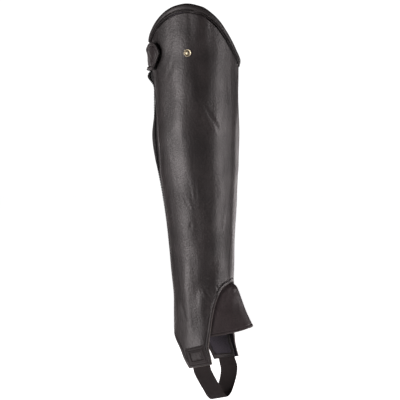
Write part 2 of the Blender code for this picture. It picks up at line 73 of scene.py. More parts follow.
# Driving dimensions
MM = 0.001
WALL = 2.0
SEAM_GAP = 0.3
ELASTIC_WALL = 1.6
TAPE_WALL = 1.0
GUSSET_WALL = 1.8
FLAP_WALL = 2.4
PATCH_WALL = 1.2
FACING_WALL = 1.0
STRAP_WIDTH = 25.4
STRAP_WALL = 1.6
ZIP_GAP = 12.0
ZIP_UNDERLAP = 5.0
ZIP_CHAIN_HEIGHT = 2.0
UNDER_LEATHER = -(WALL + SEAM_GAP)
TAPE_OUT = UNDER_LEATHER - SEAM_GAP / 2
CHAIN_OUT = TAPE_OUT + 2 * SEAM_GAP + ZIP_CHAIN_HEIGHT
ELASTIC_UNDERLAP = 6.0
GUSSET_UNDERLAP = 7.0
SHIN = 90.0
ARCH_TOP = -188.5
HEEL_HEM = -257.0
STRAP_LEAN = 14.0

# The leg's section at each height.
SECTIONS = (
    # z, shin, back, half_width
    (175, 58.5, -61, 53),
    (125, 58.1, -60.6, 52.8),
    (100, 57, -58.5, 52),
    (60, 56.6, -54.2, 52.3),
    (30, 57.3, -54.5, 53),
    (0, 57.6, -56.8, 53),
    (-30, 57.4, -53.9, 51),
    (-60, 56.2, -47.2, 48),
    (-90, 54.6, -41.2, 44.5),
    (-120, 53, -37, 41),
    (-150, 52.2, -34, 38),
    (-180, 52.2, -31.2, 36),
    (-215, 53.2, -28, 35),
    (-257, 61, -28, 35.3),
    (-300, 88, -36, 38),
)
TOP_EDGE = (
    # turn, z
    (-60, 123), (-45, 132.5), (-30, 143.5), (-13, 154.3), (0, 159.4), (14, 161.6), (33, 157.6),
    (45, 150.2), (56, 140.8), (66, 129.8), (78, 117), (92, 105), (108, 98), (130, 95), (180, 94),
    (220, 98), (252, 108),
)
BACK_EDGES = (
    # z, outer_turn, inner_turn
    (130, -60, 252),
    (80, -59.5, 252),
    (64.5, -56.5, 252),
    (43, -49, 252),
    (11, -39, 252),
    (-12, -36, 252.5),
    (-32, -38.5, 253.2),
    (-50, -43, 254),
    (-72, -47, 255),
    (-110, -53, 257.5),
    (-188.5, -57, 261),
    (-257, -58, 262),
)
# The two skirts below the arch. Inner turns are measured the other way round, from the inner side.
SKIRT = (
    # back_z, outer_back, inner_back, front_z, outer_front, inner_front
    (ARCH_TOP, -57, -81, ARCH_TOP, SHIN, SHIN),
    (-190, -57, -81, -190, 79.5, 79.5),
    (-194, -57.1, -81.1, -194, 65.5, 65.5),
    (-200, -57.2, -81.2, -200, 57, 57),
    (-209, -57.3, -81.3, -209, 49.2, 49.2),
    (-222, -57.5, -81.5, -222, 42, 42.6),
    (-236, -57.8, -81.8, -236, 35.9, 38.8),
    (-248, -58, -82, -250, 29.9, 36.6),
    (-257, -58.6, -80, -262, 24.4, 34),
    (-264, -48.5, -62, -270, 20.6, 29.8),
    (-271, -38.2, -44, -276.5, 20, 27),
    (-278, -30.4, -28, -281.5, 19.6, 25.6),
    (-286.5, -24.4, -20, -286, 19, 24.4),
    (-298.8, -15.3, -15.3, -291, 18.2, 23.6),
)
# Soft dents in the leather's form.
DENTS = (
    # turn, z, half_length, half_width, depth, lean_deg
    (27, -186, 26, 8, 1.6, 28),
    (4, -236, 28, 9, 1.1, 4),
    (-28, -212, 24, 9, 1, -14),
    (43, 22, 34, 9, 0.9, 18),
    (24, 128, 30, 10, 0.8, -8),
    (10, -66, 28, 9, 0.9, -12),
    (153, -186, 26, 8, 1.6, -28),
    (178, -30, 38, 11, 1, 10),
    (205, -215, 26, 9, 1.1, 12),
    (120, 40, 34, 10, 0.9, -16),
)
# Creases, each a trough between two low ridges. One with a negative depth is a ridge.
CREASES = (
    # turn, z, half_length, half_width, depth, lean_deg
    (24, -229, 24, 8.5, 0.8, 20),
    (30, 138, 34, 14, -0.95, 0),
    (-10, 112, 24, 5, 0.3, 10),
    (31, 62, 30, 5, 0.35, -6),
    (46, 21, 15, 2.3, 0.4, -31),
    (53, 13, 11, 1.9, 0.28, -27),
    (39, 33, 9, 1.5, 0.25, -25),
    (3.5, -83, 11, 1.7, 0.5, -23),
    (8.5, -115, 3.5, 1.8, 0.4, 12),
    (14, -79, 12, 1.4, 0.2, -4),
    (20.5, -73, 10, 1.3, 0.18, 5),
    (27, -81, 12, 1.4, 0.18, 1),
    (36, -209, 8, 1.5, 0.4, -28),
    (31, -204, 9, 1.5, 0.3, -24),
    (51, -195.5, 5, 1.3, 0.35, -34),
    (44, -202, 5.5, 1.3, 0.28, -32),
    (-14, 77, 10, 2.4, 0.35, 30),
    (-6, 88, 13, 2.6, 0.3, 16),
    (33, 118, 14, 2.6, 0.25, -12),
    (-30, -34, 12, 1.8, 0.25, 14),
    (-38, -150, 16, 2, 0.3, 8),
    (-20, -226, 13, 2, 0.3, -18),
    (66, -110, 18, 2.2, 0.28, 6),
    (74, 60, 20, 2.4, 0.25, -6),
    (113, -30, 15, 1.9, 0.45, 26),
    (106, -44, 11, 1.7, 0.35, 30),
    (144, -209, 8, 1.5, 0.4, 28),
    (149, -203, 9, 1.5, 0.3, 24),
    (129, -195.5, 5, 1.3, 0.35, 34),
    (166, -96, 13, 1.8, 0.4, 20),
    (188, -120, 12, 1.7, 0.3, -10),
    (214, 30, 17, 2, 0.35, -22),
    (226, 12, 12, 1.8, 0.3, -26),
    (232, -160, 16, 2, 0.35, 8),
    (244, -236, 12, 2, 0.35, -14),
    (160, 66, 18, 2.3, 0.3, 12),
)
# A crease's two ridges, against its trough's depth and half width.
RIDGE_HEIGHT, RIDGE_OFF, RIDGE_HALF = 0.45, 2.0, 1.2
REAR_PUFFS = (
    # z, half_height, height
    (76, 9, 10.6),
    (-6, 40, 3.6),
)
FLAP = (
    # turn, low_z, high_z, lift
    (-104, 82.5, 97, 0.5),
    (-92, 83.5, 101.5, 1.6),
    (-80, 84.3, 105, 3.2),
    (-70, 84.5, 108, 5),
    (-60, 84.2, 111.3, 5.2),
    (-50, 82.8, 115, 5.3),
    (-41, 82.4, 117.2, 5.6),
    (-34, 86.2, 117.4, 6),
    (-29, 91.2, 116, 6.2),
    (-25.3, 96.2, 111.8, 6.2),
    (-23.2, 100.4, 107.6, 6.2),
    (-22.6, 104, 104, 6.2),
)
FLAP_CREASES = (
    # turn, z, half_length, half_width, depth, lean_deg
    (-47, 104, 9, 1.6, 0.45, -38),
    (-40, 98, 8, 1.4, 0.35, -30),
    (-55, 92, 10, 1.8, 0.45, 48),
    (-50, 87, 8, 1.5, 0.35, 60),
    (-64, 100, 10, 2, 0.4, -20),
    (-76, 92, 9, 1.8, 0.35, 14),
    (-88, 90, 7, 1.6, 0.3, -10),
)
SNAP_TURN, SNAP_Z, SNAP_RADIUS = -34, 102, 5
SLIDER_Z, PULL_Z, PULL_LIFT = 102.5, 92, 0.95
STUD_TURN, STUD_Z, STUD_RADIUS = 15.5, 102, 4.9

# The instep gusset's ribs, from the arch's apex to the hem.
GUSSET = (
    # edge_turn, edge_z, fold_z, reach
    (90, -189, -189.8, -2.2),
    (79.5, -190.5, -191.8, 3.4),
    (65.5, -194.5, -195.5, 7),
    (57, -200.5, -200, 9),
    (49.2, -209.5, -206, 11.6),
    (42, -222, -216, 15.2),
    (35.9, -236, -227.5, 19.4),
    (29.9, -250, -238, 23.2),
    (27.3, -257, -243, 25),
)
FOLD_SHARPNESS = 1.75
PAST_EDGE = 0.5

STRAP_PATH = (
    # x, y, z, sewn
    (20.6, -34.9, -272, 1),
    (23.3, -34.9, -283, 1),
    (26.6, -34.9, -297, 1),
    (29, -30.5, -306, 0.3),
    (30, -23.5, -316, 0),
    (31.3, -14, -327, 0),
    (32.3, -5, -337, 0),
    (32.9, 4.5, -342, 0),
    (33.1, 13.5, -339, 0),
    (33, 23, -330, 0),
    (32.4, 32.5, -317.5, 0),
    (31.4, 36.6, -306.5, 0.3),
    (29.6, 34.9, -296, 1),
    (26.4, 34.9, -283, 1),
    (23.8, 34.9, -272, 1),
)
PATCH_CORNERS = ((-20.6, -274.4), (14.8, -266.2), (-13.3, -296.9), (17.1, -289.5))
FACING_CORNERS = ((-30, -262), (28.5, -262), (-13, -297), (21, -290.3))
PATCH_WIDTH, PATCH_HEIGHT = 28.0, 22.5
BINDING_PROFILE = (
    # below the edge, out from the leather's outer face
    (-2, -1), (-1.5, 0.8), (0.2, 2.1), (2.6, 2.45), (4.3, 2.3), (5.4, 1.6), (5.95, 0.1),
    (6.35, 0.1), (6.75, 1.2), (7.15, 1.5), (7.6, 1.2), (7.85, 0.2), (4.2, 0.45), (-0.3, 0.35),
    (-0.3, -2.35), (3.4, -2.35), (6.8, -2.35), (6.8, -3.4), (-1.1, -3.2),
)

# How a turned and stitched edge stands: distance to the seam, rise of the doubled edge, depth and
# half width of the groove that the thread pulls in, radius of the corner, and how much lighter the
# colour is made at the edge.
EDGES = {
    # seam, rise, groove, groove_width, corner, lighter
    "main_panel": (4.2, 0.35, 0.65, 0.65, 0.8, 0.8),
    "snap_flap": (4.8, 0.6, 1.3, 1, 1.1, 0),
    "instep_gusset": (3.2, 0.3, 0.5, 0.6, 0.7, 0.45),
    "tab_patch": (2, 0.25, 0.55, 0.6, 0.5, 0.15),
    "tab_hem": (1.4, 0.1, 0.3, 0.4, 0.4, 0),
    "plain": (9, 0, 0, 0.6, 0.4, 0),
}

# How far out of its cloth each seam's thread lies. Most are pulled into a groove.
THREAD_OUT = {"panel": -0.37, "binding": 0.35, "flap": -1, "patch": -0.4, "gusset": -0.3}
BINDING_SEAM_BELOW = 6.15
STITCH_AND_GAP = 1.22  # against the stitch's length

# The slow unevenness of each surface: a swell's size across and up, its height, and its seed. The
# gusset's sizes across and up are rows and a share of the way to the fold, and the rest millimetres.
SWELLS = {
    # across, up, height, seed
    "panel": (21, 46, 1.05, 3.1),
    "streaks": (7, 36, 0.16, 7.7),
    "gathers": (5, 40, 0.6, 11.3),
    "binding": (6, 6, 0.12, 5),
    "flap": (9, 9, 0.55, 17),
    "flap wrinkles": (3.2, 9, 0.16, 19),
    "patch": (3.2, 3.2, 0.5, 31),
    "outer gusset": (1 / 0.9, 0.25, 0.8, 29),
    "inner gusset": (1 / 0.9, 0.25, 0.8, 23),
}
GATHERS_REACH = 18.0  # how far below the top edge the gathers fade out

FAR_FROM_EDGES = 99.0  # the distance given to a cloth with no edge that shows
# How far in from an edge the leather's colour is made lighter.
PALE_EDGE_WIDTH = 0.8
TURNED_SOFTNESS = 1.2  # over what width a doubled edge comes down to the single cloth

# Each cloth piece's cut before it was sewn: its width, length and area.
CUTS = {
    # width, length, area
    "main_panel_leather": (302, 462, 96000),
    "top_binding_leather": (20, 396, 7300),
    "elastic_panel_gore": (68, 372, 13000),
    "zip_tape_outer_cloth": (11, 374, 4100),
    "zip_tape_rear_cloth": (11, 374, 4100),
    "snap_flap_leather": (38, 84, 2560),
    "instep_gusset_leather": (84, 110, 6200),
    "tab_patch_leather": (27, 30, 770),
    "tab_facing_textile": (40, 35, 1200),
    "foot_strap_elastic": (25.4, 183, 4648),
}


class Curve:
    """A smooth curve with no overshoot through one column of a table."""

    def __init__(self, table, column):
        rows = sorted(table, key=lambda row: row[0])
        self.places = [row[0] for row in rows]
        self.values = [row[column] for row in rows]
        steps = list(zip(zip(self.places, self.values), zip(self.places[1:], self.values[1:])))
        slopes = [(high[1] - low[1]) / (high[0] - low[0]) for low, high in steps]
        inner = [
            0.0 if before * after <= 0 else 2 * before * after / (before + after)
            for before, after in zip(slopes, slopes[1:])
        ]
        self.tangents = [slopes[0], *inner, slopes[-1]]

    def __call__(self, x):
        if x <= self.places[0]:
            return self.values[0]
        if x >= self.places[-1]:
            return self.values[-1]
        i = bisect_left(self.places, x) - 1
        span = self.places[i + 1] - self.places[i]
        t = (x - self.places[i]) / span
        return (
            self.values[i] * (1 + 2 * t) * (1 - t) ** 2
            + self.tangents[i] * span * t * (1 - t) ** 2
            + self.values[i + 1] * t * t * (3 - 2 * t)
            + self.tangents[i + 1] * span * t * t * (t - 1)
        )


def curves(table):
    """A curve for each column of a table after its first, which says how far along a row is."""
    return [Curve(table, column) for column in range(1, len(table[0]))]


shin_reach, back_reach, half_width = curves(SECTIONS)
(top_height,) = curves(TOP_EDGE)
outer_edge, inner_edge = curves(BACK_EDGES)
flap_low, flap_high, flap_lift = curves(FLAP)
skirt_curves, gusset_curves, strap_curves = (
    curves([(i, *row) for i, row in enumerate(table)]) for table in (SKIRT, GUSSET, STRAP_PATH)
)


def blend(low, high, t):
    return low + (high - low) * t


def even(low, high, count):
    return [blend(low, high, i / count) for i in range(count + 1)]


def clamp(t):
    return min(1.0, max(0.0, t))


def smooth(t):
    """Rises softly from 0 to 1."""
    t = clamp(t)
    return t * t * (3 - 2 * t)


def bell(off, half):
    """Falls softly from 1 as something goes off its middle, to 0.37 at its half width."""
    return math.exp(-((off / half) ** 2))


def girth_radius(z):
    return ((shin_reach(z) - back_reach(z)) / 2 + half_width(z)) / 2


def in_mark(mark, turn, z, radius):
    """Where a point lies across and along a dent or crease, as shares of its half sizes."""
    centre, height, half_length, half_breadth, _, lean = mark
    across, along, tilt = math.radians(turn - centre) * radius, z - height, math.radians(lean)
    u = across * math.cos(tilt) - along * math.sin(tilt)
    v = across * math.sin(tilt) + along * math.cos(tilt)
    return u / half_breadth, v / half_length


def dent_depth(turn, z):
    radius = girth_radius(z)
    total = 0.0
    for dent in DENTS:
        u, v = in_mark(dent, turn, z, radius)
        if u * u + v * v < 12:
            total += dent[4] * math.exp(-u * u - v * v)
    return total


def crease_rise(marks, turn, z):
    """The rise of narrow creases: a trough with a low ridge on each side."""
    radius = girth_radius(z)
    total = 0.0
    for mark in marks:
        u, v = in_mark(mark, turn, z, radius)
        if abs(u) < 5 and abs(v) < 2.5:
            ridge = RIDGE_HEIGHT * bell(abs(u) - RIDGE_OFF, RIDGE_HALF)
            total += mark[4] * math.exp(-v * v) * (ridge - math.exp(-u * u))
    return total


def leg_point(turn, z, out=0.0):
    """The point on the leather's outer face at a turn and height, moved out by so many millimetres."""
    shin, back, half = shin_reach(z), back_reach(z), half_width(z)
    centre, depth = (shin + back) / 2, (shin - back) / 2
    angle = math.radians(turn)
    normal = Vector((math.sin(angle) / depth, -math.cos(angle) / half, 0)).normalized()
    on_leg = Vector((centre + depth * math.sin(angle), -half * math.cos(angle), z))
    return on_leg + normal * (out - dent_depth(turn, z))


def degrees_of(length, z, turn):
    return length / (leg_point(turn + 0.5, z) - leg_point(turn - 0.5, z)).length


PUFF_FLATNESS = 1.6


def rear_puff(turn, z):
    outer, inner = outer_edge(z), inner_edge(z) - 360.0
    share = clamp((outer - turn) / (outer - inner))
    rise = min(1.0, math.sin(math.pi * share) * PUFF_FLATNESS)
    return rise * sum(height * bell(z - centre, half) for centre, half, height in REAR_PUFFS)


def rear_point(turn, z, out):
    return leg_point(turn, z, out + rear_puff(turn, z))


def directed(places):
    """Turns and heights on a line, each with the line's direction there on the unrolled leather."""
    line = []
    for i, (turn, z) in enumerate(places):
        before, after = places[max(i - 1, 0)], places[min(i + 1, len(places) - 1)]
        across = (after[0] - before[0]) / degrees_of(1.0, z, turn)
        line.append((turn, z, Vector((across, after[1] - before[1])).normalized()))
    return line


def sideways(turn, z, along, distance):
    """A place moved to the right of a line that passes it."""
    return turn + along.y * distance * degrees_of(1.0, z, turn), z - along.x * distance


def beside(places, distance):
    return [sideways(*place, distance) for place in directed(places)]


def on_cloth(point_at, *place):
    """A point, and the direction out of the cloth there. A place ends with how far out it is."""
    *where, out = place
    point = point_at(*place)
    return point, (point_at(*where, out + 1.0) - point).normalized()


def round_leg(turn):
    return math.radians(turn) * girth_radius(0.0)


def swell(kind, across, up):
    across_size, up_size, height, seed = SWELLS[kind]
    return height * noise.noise(Vector((across / across_size, up / up_size, seed)))


# Meshes

Spot = namedtuple("Spot", "point rise uv")  # a point of a cloth's outer face before its relief


def spot_on(point_at, turn, z, out=0.0, rise=0.0):
    """A spot whose uv is metres round and up the leg, for a weave that follows the cloth."""
    return Spot(point_at(turn, z, out), rise, (round_leg(turn) * MM, z * MM))


def placed(name, data):
    """A new object of some data, in the scene."""
    made = bpy.data.objects.new(name, data)
    bpy.context.scene.collection.objects.link(made)
    return made


def riding(name, mesh):
    """A piece that rides on the part's one body."""
    piece = placed(name, mesh)
    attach(piece, "root")
    return piece


def new_piece(name, points, faces, finishes, sharp, uvs=None, slots=None, wear=None):
    """Makes points in millimetres a named piece in metres."""
    mesh = bpy.data.meshes.new(name)
    mesh.from_pydata([point * MM for point in points], [], faces)
    for each in finishes:
        mesh.materials.append(finish(each))
    if slots:
        mesh.polygons.foreach_set("material_index", slots)
    if uvs:
        layer = mesh.uv_layers.new(name="cloth")
        corners = [value for loop in mesh.loops for value in uvs[loop.vertex_index]]
        layer.data.foreach_set("uv", corners)
    if wear:
        add_paleness(mesh, wear)
    mesh.shade_smooth()
    mesh.set_sharp_from_angle(angle=math.radians(sharp))
    mesh.validate()
    return riding(name, mesh)


def add_paleness(mesh, wear):
    mesh.attributes.new("wear", "FLOAT", "POINT").data.foreach_set("value", wear)


def edge_rise(form, distance):
    """The outer face's rise at a distance from a turned edge, and how far its corner is rounded."""
    seam, rise, groove, groove_width, corner, _ = form
    rounded = 0.0
    if distance < corner:
        rounded = corner - math.sqrt(corner**2 - (corner - distance) ** 2)
    doubled = rise * (1 - smooth((distance - seam + TURNED_SOFTNESS) / TURNED_SOFTNESS))
    return doubled - groove * bell(distance - seam, groove_width), rounded


def cloth(name, grids, wall, finishes, edge="plain", hidden_rows=()):
    """A closed shell on grids of spots, which run down and to the right seen from outside.

    The finishes are the outer face's, the inner face's where it is another, and the cut edge's
    where it is painted. The outer face gets each spot's rise and the form of the named edge. The
    borders that run along one of the hidden rows of spots keep a plain edge, because another piece
    covers them.
    """
    numbers, spots, faces = {}, [], []

    def number(spot):
        key = tuple(round(value, 3) for value in spot.point)
        if key not in numbers:
            numbers[key] = len(spots)
            spots.append(spot)
        return numbers[key]

    for rows in grids:
        made = [[number(spot) for spot in row] for row in rows]
        for upper, lower in zip(made, made[1:]):
            for i in range(len(upper) - 1):
                corners = dict.fromkeys((upper[i], lower[i], lower[i + 1], upper[i + 1]))
                if len(corners) > 2:
                    faces.append(tuple(corners))
    steps = {(a, b) for face in faces for a, b in zip(face, face[1:] + face[:1])}
    border = [(a, b) for a, b in steps if (b, a) not in steps]
    covered = {number(spot) for row in hidden_rows for spot in row}

    samples = [
        spots[a].point.lerp(spots[b].point, share / 4)
        for a, b in border
        if not (a in covered and b in covered)
        for share in range(4)
    ]
    nearest = kdtree.KDTree(len(samples))
    for i, sample in enumerate(samples):
        nearest.insert(sample, i)
    nearest.balance()

    base = bpy.data.meshes.new("base")
    base.from_pydata([spot.point for spot in spots], [], faces)
    normals = [normal.vector.copy() for normal in base.vertex_normals]
    bpy.data.meshes.remove(base)

    outer, inner, wear = [], [], []
    for spot, normal in zip(spots, normals):
        distance = nearest.find(spot.point)[2] if samples else FAR_FROM_EDGES
        rise, rounded = edge_rise(EDGES[edge], distance)
        outer.append(spot.point + normal * (spot.rise + rise - rounded))
        inner.append(spot.point + normal * (rounded * 0.6 - wall))
        wear.append(EDGES[edge][-1] * bell(distance, PALE_EDGE_WIDTH))
    count = len(spots)
    back = [tuple(i + count for i in reversed(face)) for face in faces]
    rim = [(b, a, a + count, b + count) for a, b in border]
    inside, painted = min(1, len(finishes) - 1), 2 if len(finishes) > 2 else 0
    slots = [0] * len(faces) + [inside] * len(back) + [painted] * len(rim)
    uvs = [spot.uv for spot in spots] * 2
    shell = faces + back + rim
    return new_piece(name, outer + inner, shell, finishes, 50, uvs, slots, wear + wear)


def tube(name, rings, finishes, sharp=40, uvs=None):
    """A closed tube through rings of points that run to the left seen along the tube."""
    sides, last = len(rings[0]), len(rings) - 1
    points = [point for ring in rings for point in ring]
    faces = []
    for first in range(0, last * sides, sides):
        for i in range(sides):
            j = (i + 1) % sides
            faces.append((first + i, first + sides + i, first + sides + j, first + j))
    faces.append(tuple(reversed(range(sides))))
    faces.append(tuple(range(last * sides, len(points))))
    piece = new_piece(name, points, faces, finishes, sharp, uvs)
    face_out(piece.data)
    return piece


def face_out(mesh):
    """Turns a closed mesh's faces outwards."""
    shape = bmesh.new()
    shape.from_mesh(mesh)
    bmesh.ops.recalc_face_normals(shape, faces=shape.faces)
    shape.to_mesh(mesh)
    shape.free()


# Materials


def linear(hex_colour):
    """A linear colour from an sRGB hex value."""
    parts = [int(hex_colour[i : i + 2], 16) / 255 for i in (1, 3, 5)]
    return [v / 12.92 if v <= 0.04045 else ((v + 0.055) / 1.055) ** 2.4 for v in parts] + [1.0]


def plug(made, inputs):
    """Sets a node's inputs, each from a value or from the socket that it is linked from."""
    for name, value in inputs.items():
        if isinstance(value, bpy.types.NodeSocket):
            made.id_data.links.new(value, made.inputs[name])
        else:
            made.inputs[name].default_value = value


def node(tree, kind, inputs=None, output=0, **settings):
    """Adds a node with its settings and links, and gives one of its outputs."""
    made = tree.nodes.new(kind)
    for name, value in settings.items():
        setattr(made, name, value)
    plug(made, inputs or {})
    return made.outputs[output]


def new_material(name, roughness, **sockets):
    """A material with its shader's own values set, its node tree and its shader."""
    material = bpy.data.materials.new(name)
    material.use_nodes = True
    shader = material.node_tree.nodes["Principled BSDF"]
    plug(shader, {"Roughness": roughness})
    plug(shader, {socket.replace("_", " "): value for socket, value in sockets.items()})
    return material, material.node_tree, shader


FACTOR, FROM_COLOUR, TO_COLOUR, MIXED_COLOUR = 0, 6, 7, 2  # a Mix node's sockets for colours


def turning(tree, value, low, high, colour, other, most=1.0):
    """Turns one colour to another, or most of the way, as a value rises from low to high."""
    limits = {"Value": value, "From Min": low, "From Max": high, "To Max": most}
    share = node(tree, "ShaderNodeMapRange", limits)
    colours = {FACTOR: share, FROM_COLOUR: colour, TO_COLOUR: other}
    return node(tree, "ShaderNodeMix", colours, MIXED_COLOUR, data_type="RGBA")


POLISH_PATCH = 34 * MM
TARNISH_PATCH = 2.5 * MM
YARN_FUZZ = 1.1 * MM
THREAD_TWIST = 0.4 * MM
PORES_PER_PEBBLE, PORE_DEPTH = 2.2, 0.25  # against a pebble's width and height
FUZZ_DEPTH = 0.4  # against a thread's height


def leather_material(name, colour, light, grain, depth, roughness):
    """Coated cowhide with a printed pebble grain.

    Pigment and a thin acrylic finish give a soft satin sheen. The pebbles catch it in small
    facets, broad patches are a little more polished than others, and the colour is made lighter
    close to the turned edges. The pebbles are a little coarser than real ones, so that they still
    show in a small render.
    """
    material, tree, shader = new_material(name, roughness, IOR=1.5)
    place = node(tree, "ShaderNodeTexCoord", output="Object")
    wear = node(tree, "ShaderNodeAttribute", output="Fac", attribute_name="wear")
    cells = {"Vector": place, "Scale": 1 / (grain * MM), "Smoothness": 0.6, "Randomness": 0.9}
    pebbles = node(tree, "ShaderNodeTexVoronoi", cells, feature="SMOOTH_F1")
    pore_scale = PORES_PER_PEBBLE / (grain * MM)
    fine = {"Vector": place, "Scale": pore_scale, "Detail": 3.0, "Roughness": 0.6}
    pores = node(tree, "ShaderNodeTexNoise", fine)
    broad = {"Vector": place, "Scale": 1 / POLISH_PATCH, "Detail": 4.0}
    patches = node(tree, "ShaderNodeTexNoise", broad)
    relief = node(tree, "ShaderNodeMath", {0: pores, 1: PORE_DEPTH, 2: pebbles}, operation="MULTIPLY_ADD")
    relief_size = {"Height": relief, "Strength": 1.0, "Distance": depth * MM}
    body = turning(tree, patches, 0.35, 0.68, colour, light)
    grained = turning(tree, pebbles, 0.45, 0.95, body, linear("#151313"), 0.45)
    gloss = {0: patches, 1: 0.3, 2: 0.7, 3: roughness + 0.05, 4: roughness - 0.05}
    looks = {
        # The colour is made lighter close to the turned edges, by the attribute that cloth() sets.
        "Base Color": turning(tree, wear, 0.2, 1.0, grained, linear("#8D857F"), 0.6),
        "Roughness": node(tree, "ShaderNodeMapRange", gloss),
        "Normal": node(tree, "ShaderNodeBump", relief_size, invert=True),
    }
    plug(shader, looks)
    return material


def woven_material(name, colour, dark, thread, depth, roughness, sheen, across_only):
    """Yarn woven or knitted in rows: each thread is a rounded bump, darker between the threads."""
    material, tree, shader = new_material(name, roughness, Sheen_Weight=sheen, Sheen_Roughness=0.5, IOR=1.5)
    place = node(tree, "ShaderNodeUVMap", uv_map="cloth")
    bands = {"Vector": place, "Scale": math.pi / 10 / (thread * MM), "Distortion": 0.0}
    form = {"wave_type": "BANDS", "wave_profile": "SIN", "output": "Fac"}
    weave = node(tree, "ShaderNodeTexWave", bands, bands_direction="X", **form)
    if not across_only:
        other = node(tree, "ShaderNodeTexWave", bands, bands_direction="Y", **form)
        weave = node(tree, "ShaderNodeMath", {0: weave, 1: other}, operation="MULTIPLY")
    fuzz = node(tree, "ShaderNodeTexNoise", {"Vector": place, "Scale": 1 / YARN_FUZZ, "Detail": 3.0})
    height = node(tree, "ShaderNodeMath", {0: fuzz, 1: FUZZ_DEPTH, 2: weave}, operation="MULTIPLY_ADD")
    relief_size = {"Height": height, "Strength": 1.0, "Distance": depth * MM}
    looks = {
        "Base Color": turning(tree, height, 0.1, 1.1, dark, colour),
        "Normal": node(tree, "ShaderNodeBump", relief_size),
    }
    plug(shader, looks)
    return material


def metal_material(name, colour, dark, roughness):
    """Plated metal, struck and tumbled: dulled in patches, and bright where a rim is rubbed."""
    material, tree, shader = new_material(name, roughness, Metallic=1.0)
    place = node(tree, "ShaderNodeTexCoord", output="Object")
    size = {"Vector": place, "Scale": 1 / TARNISH_PATCH, "Detail": 4.0}
    tarnish = node(tree, "ShaderNodeTexNoise", size)
    rubbed = node(tree, "ShaderNodeAttribute", output="Fac", attribute_name="wear")
    plated = turning(tree, tarnish, 0.35, 0.7, colour, dark)
    dull = {0: tarnish, 1: 0.3, 2: 0.7, 3: roughness - 0.08, 4: roughness + 0.12}
    looks = {
        "Base Color": turning(tree, rubbed, 0.0, 1.0, plated, linear("#DDD3B9")),
        "Roughness": node(tree, "ShaderNodeMapRange", dull),
    }
    plug(shader, looks)
    return material


def thread_material(name, colour):
    """Waxed, bonded polyester thread: twisted filaments with a dull shine."""
    material, tree, shader = new_material(name, 0.55, IOR=1.5)
    place = node(tree, "ShaderNodeTexCoord", output="Object")
    size = {"Vector": place, "Scale": 1 / THREAD_TWIST, "Detail": 2.0}
    twist = node(tree, "ShaderNodeTexNoise", size)
    plug(shader, {"Base Color": turning(tree, twist, 0.3, 0.7, linear("#1A1716"), colour)})
    return material


# The finishes by name, under what each gives the eye. A word in place of a colour or size names a
# setting.
LEATHERS = {  # colour, polished colour, grain, depth, roughness
    # Satin, with a pebble grain and broad patches that are a little brighter.
    "coated cowhide": ("leather", "leather_light", "grain", 0.17, 0.43),
    # Round the piping: darker and duller, with a finer and flatter grain. The darker colour
    # is painted shade on the binding's top, which faces up, away from the lamps.
    "rolled cowhide": ("#1F1C1C", "#292525", 1.8, 0.12, 0.48),
    # Bent double and handled: a little paler, with a soft shine.
    "folded cowhide": ("#272222", "#332D2D", 1.8, 0.12, 0.42),
    # The palest of the leathers, with a finer grain: the panel's leather painted paler, as
    # painted light on the gusset, which is turned to the lamps.
    "gusset cowhide": ("#312A2B", "#3E3738", 1.8, 0.12, 0.44),
    # Pressed flat, so with hardly any grain; and the darkest and most matt of the leathers.
    "pressed cowhide": ("#1B1414", "#251D1D", 1.4, 0.08, 0.60),
}
WEAVES = {  # colour, dark colour, thread, depth, roughness, sheen, across only
    # Brushed to a nap: a pale, soft bloom half hides its threads.
    "brushed textile backing": ("lining", "#1A181E", 0.9, 0.10, 0.9, 0.25, False),
    # Woven over rubber: firm ribs one way only, and matt.
    "woven elastic": ("elastic", "#120E0E", 1.6, 0.10, 0.85, 0.0, True),
    # Knitted over rubber: close to black, with fine loops and a faint bloom.
    "knitted gore": ("#1C1918", "#090808", 0.7, 0.10, 0.85, 0.25, False),
    # Tightly woven: the finest threads here, close to black.
    "zip tape": ("#1B191A", "#0A0A0B", 0.6, 0.08, 0.8, 0.25, False),
}
PLATINGS = {  # colour, tarnished colour, roughness
    # Pale and bright, with faint cloudy patches.
    "nickel plate": ("#B9B7B1", "#8E8B85", 0.3),
    # Brass left to darken: brown-grey when sunk, and pale gold where it is rubbed.
    "antique brass": ("brass", "#5E5544", 0.44),
}
PLAIN = {  # colour, roughness, IOR
    # Painted over a cut edge: a smooth, dull line, close to black.
    "edge paint": ("#0C0A0A", 0.6, 1.45),
    # Smooth and black from the mould, with small clear highlights.
    "moulded nylon": ("#151415", 0.4, 1.53),
}


def given(value):
    """A value in a finish's row: a hex colour, a number, or a setting's name. Sizes are millimetres."""
    if not isinstance(value, str):
        return value
    if value.startswith("#"):
        return linear(value)
    setting = getattr(bpy.context.scene.half_chap, value)
    return setting / MM if isinstance(setting, float) else setting


def finish(name):
    """The named finish, made the first time that a piece asks for it."""
    made = bpy.data.materials.get(name)
    if made:
        return made
    for table, make in ((LEATHERS, leather_material), (WEAVES, woven_material), (PLATINGS, metal_material)):
        if name in table:
            return make(name, *(given(value) for value in table[name]))
    if name == "bonded thread":
        return thread_material(name, given("thread"))
    colour, roughness, ior = PLAIN[name]
    return new_material(name, roughness, Base_Color=given(colour), IOR=ior)[0]


# The leather panel

PANEL_COLUMNS, BINDING_ROWS, PANEL_TUBE_ROWS, PANEL_SKIRT_ROWS = 95, 22, 140, 92
BESIDE_BINDING = 0.05
SKIRT_LAST = len(SKIRT) - 1
DENSE_AT_BACK, DENSE_AT_BOTH = 1.35, 0.75


def spacing(t, low):
    """A column's place from a back edge, 0, to the front, 1: dense at the edges that show."""
    at_back = t**DENSE_AT_BACK
    both_ends = t - DENSE_AT_BOTH * math.sin(2 * math.pi * t) / (2 * math.pi)
    return blend(at_back, both_ends, low)


def tube_turn(share, z):
    outer, inner = outer_edge(z), inner_edge(z)
    return blend(outer, SHIN, share) if share <= 1 else blend(SHIN, inner, share - 1)


def top_edge_place(share):
    z = 120.0
    for _ in range(8):
        turn = tube_turn(share, z)
        z = top_height(turn)
    return turn, z


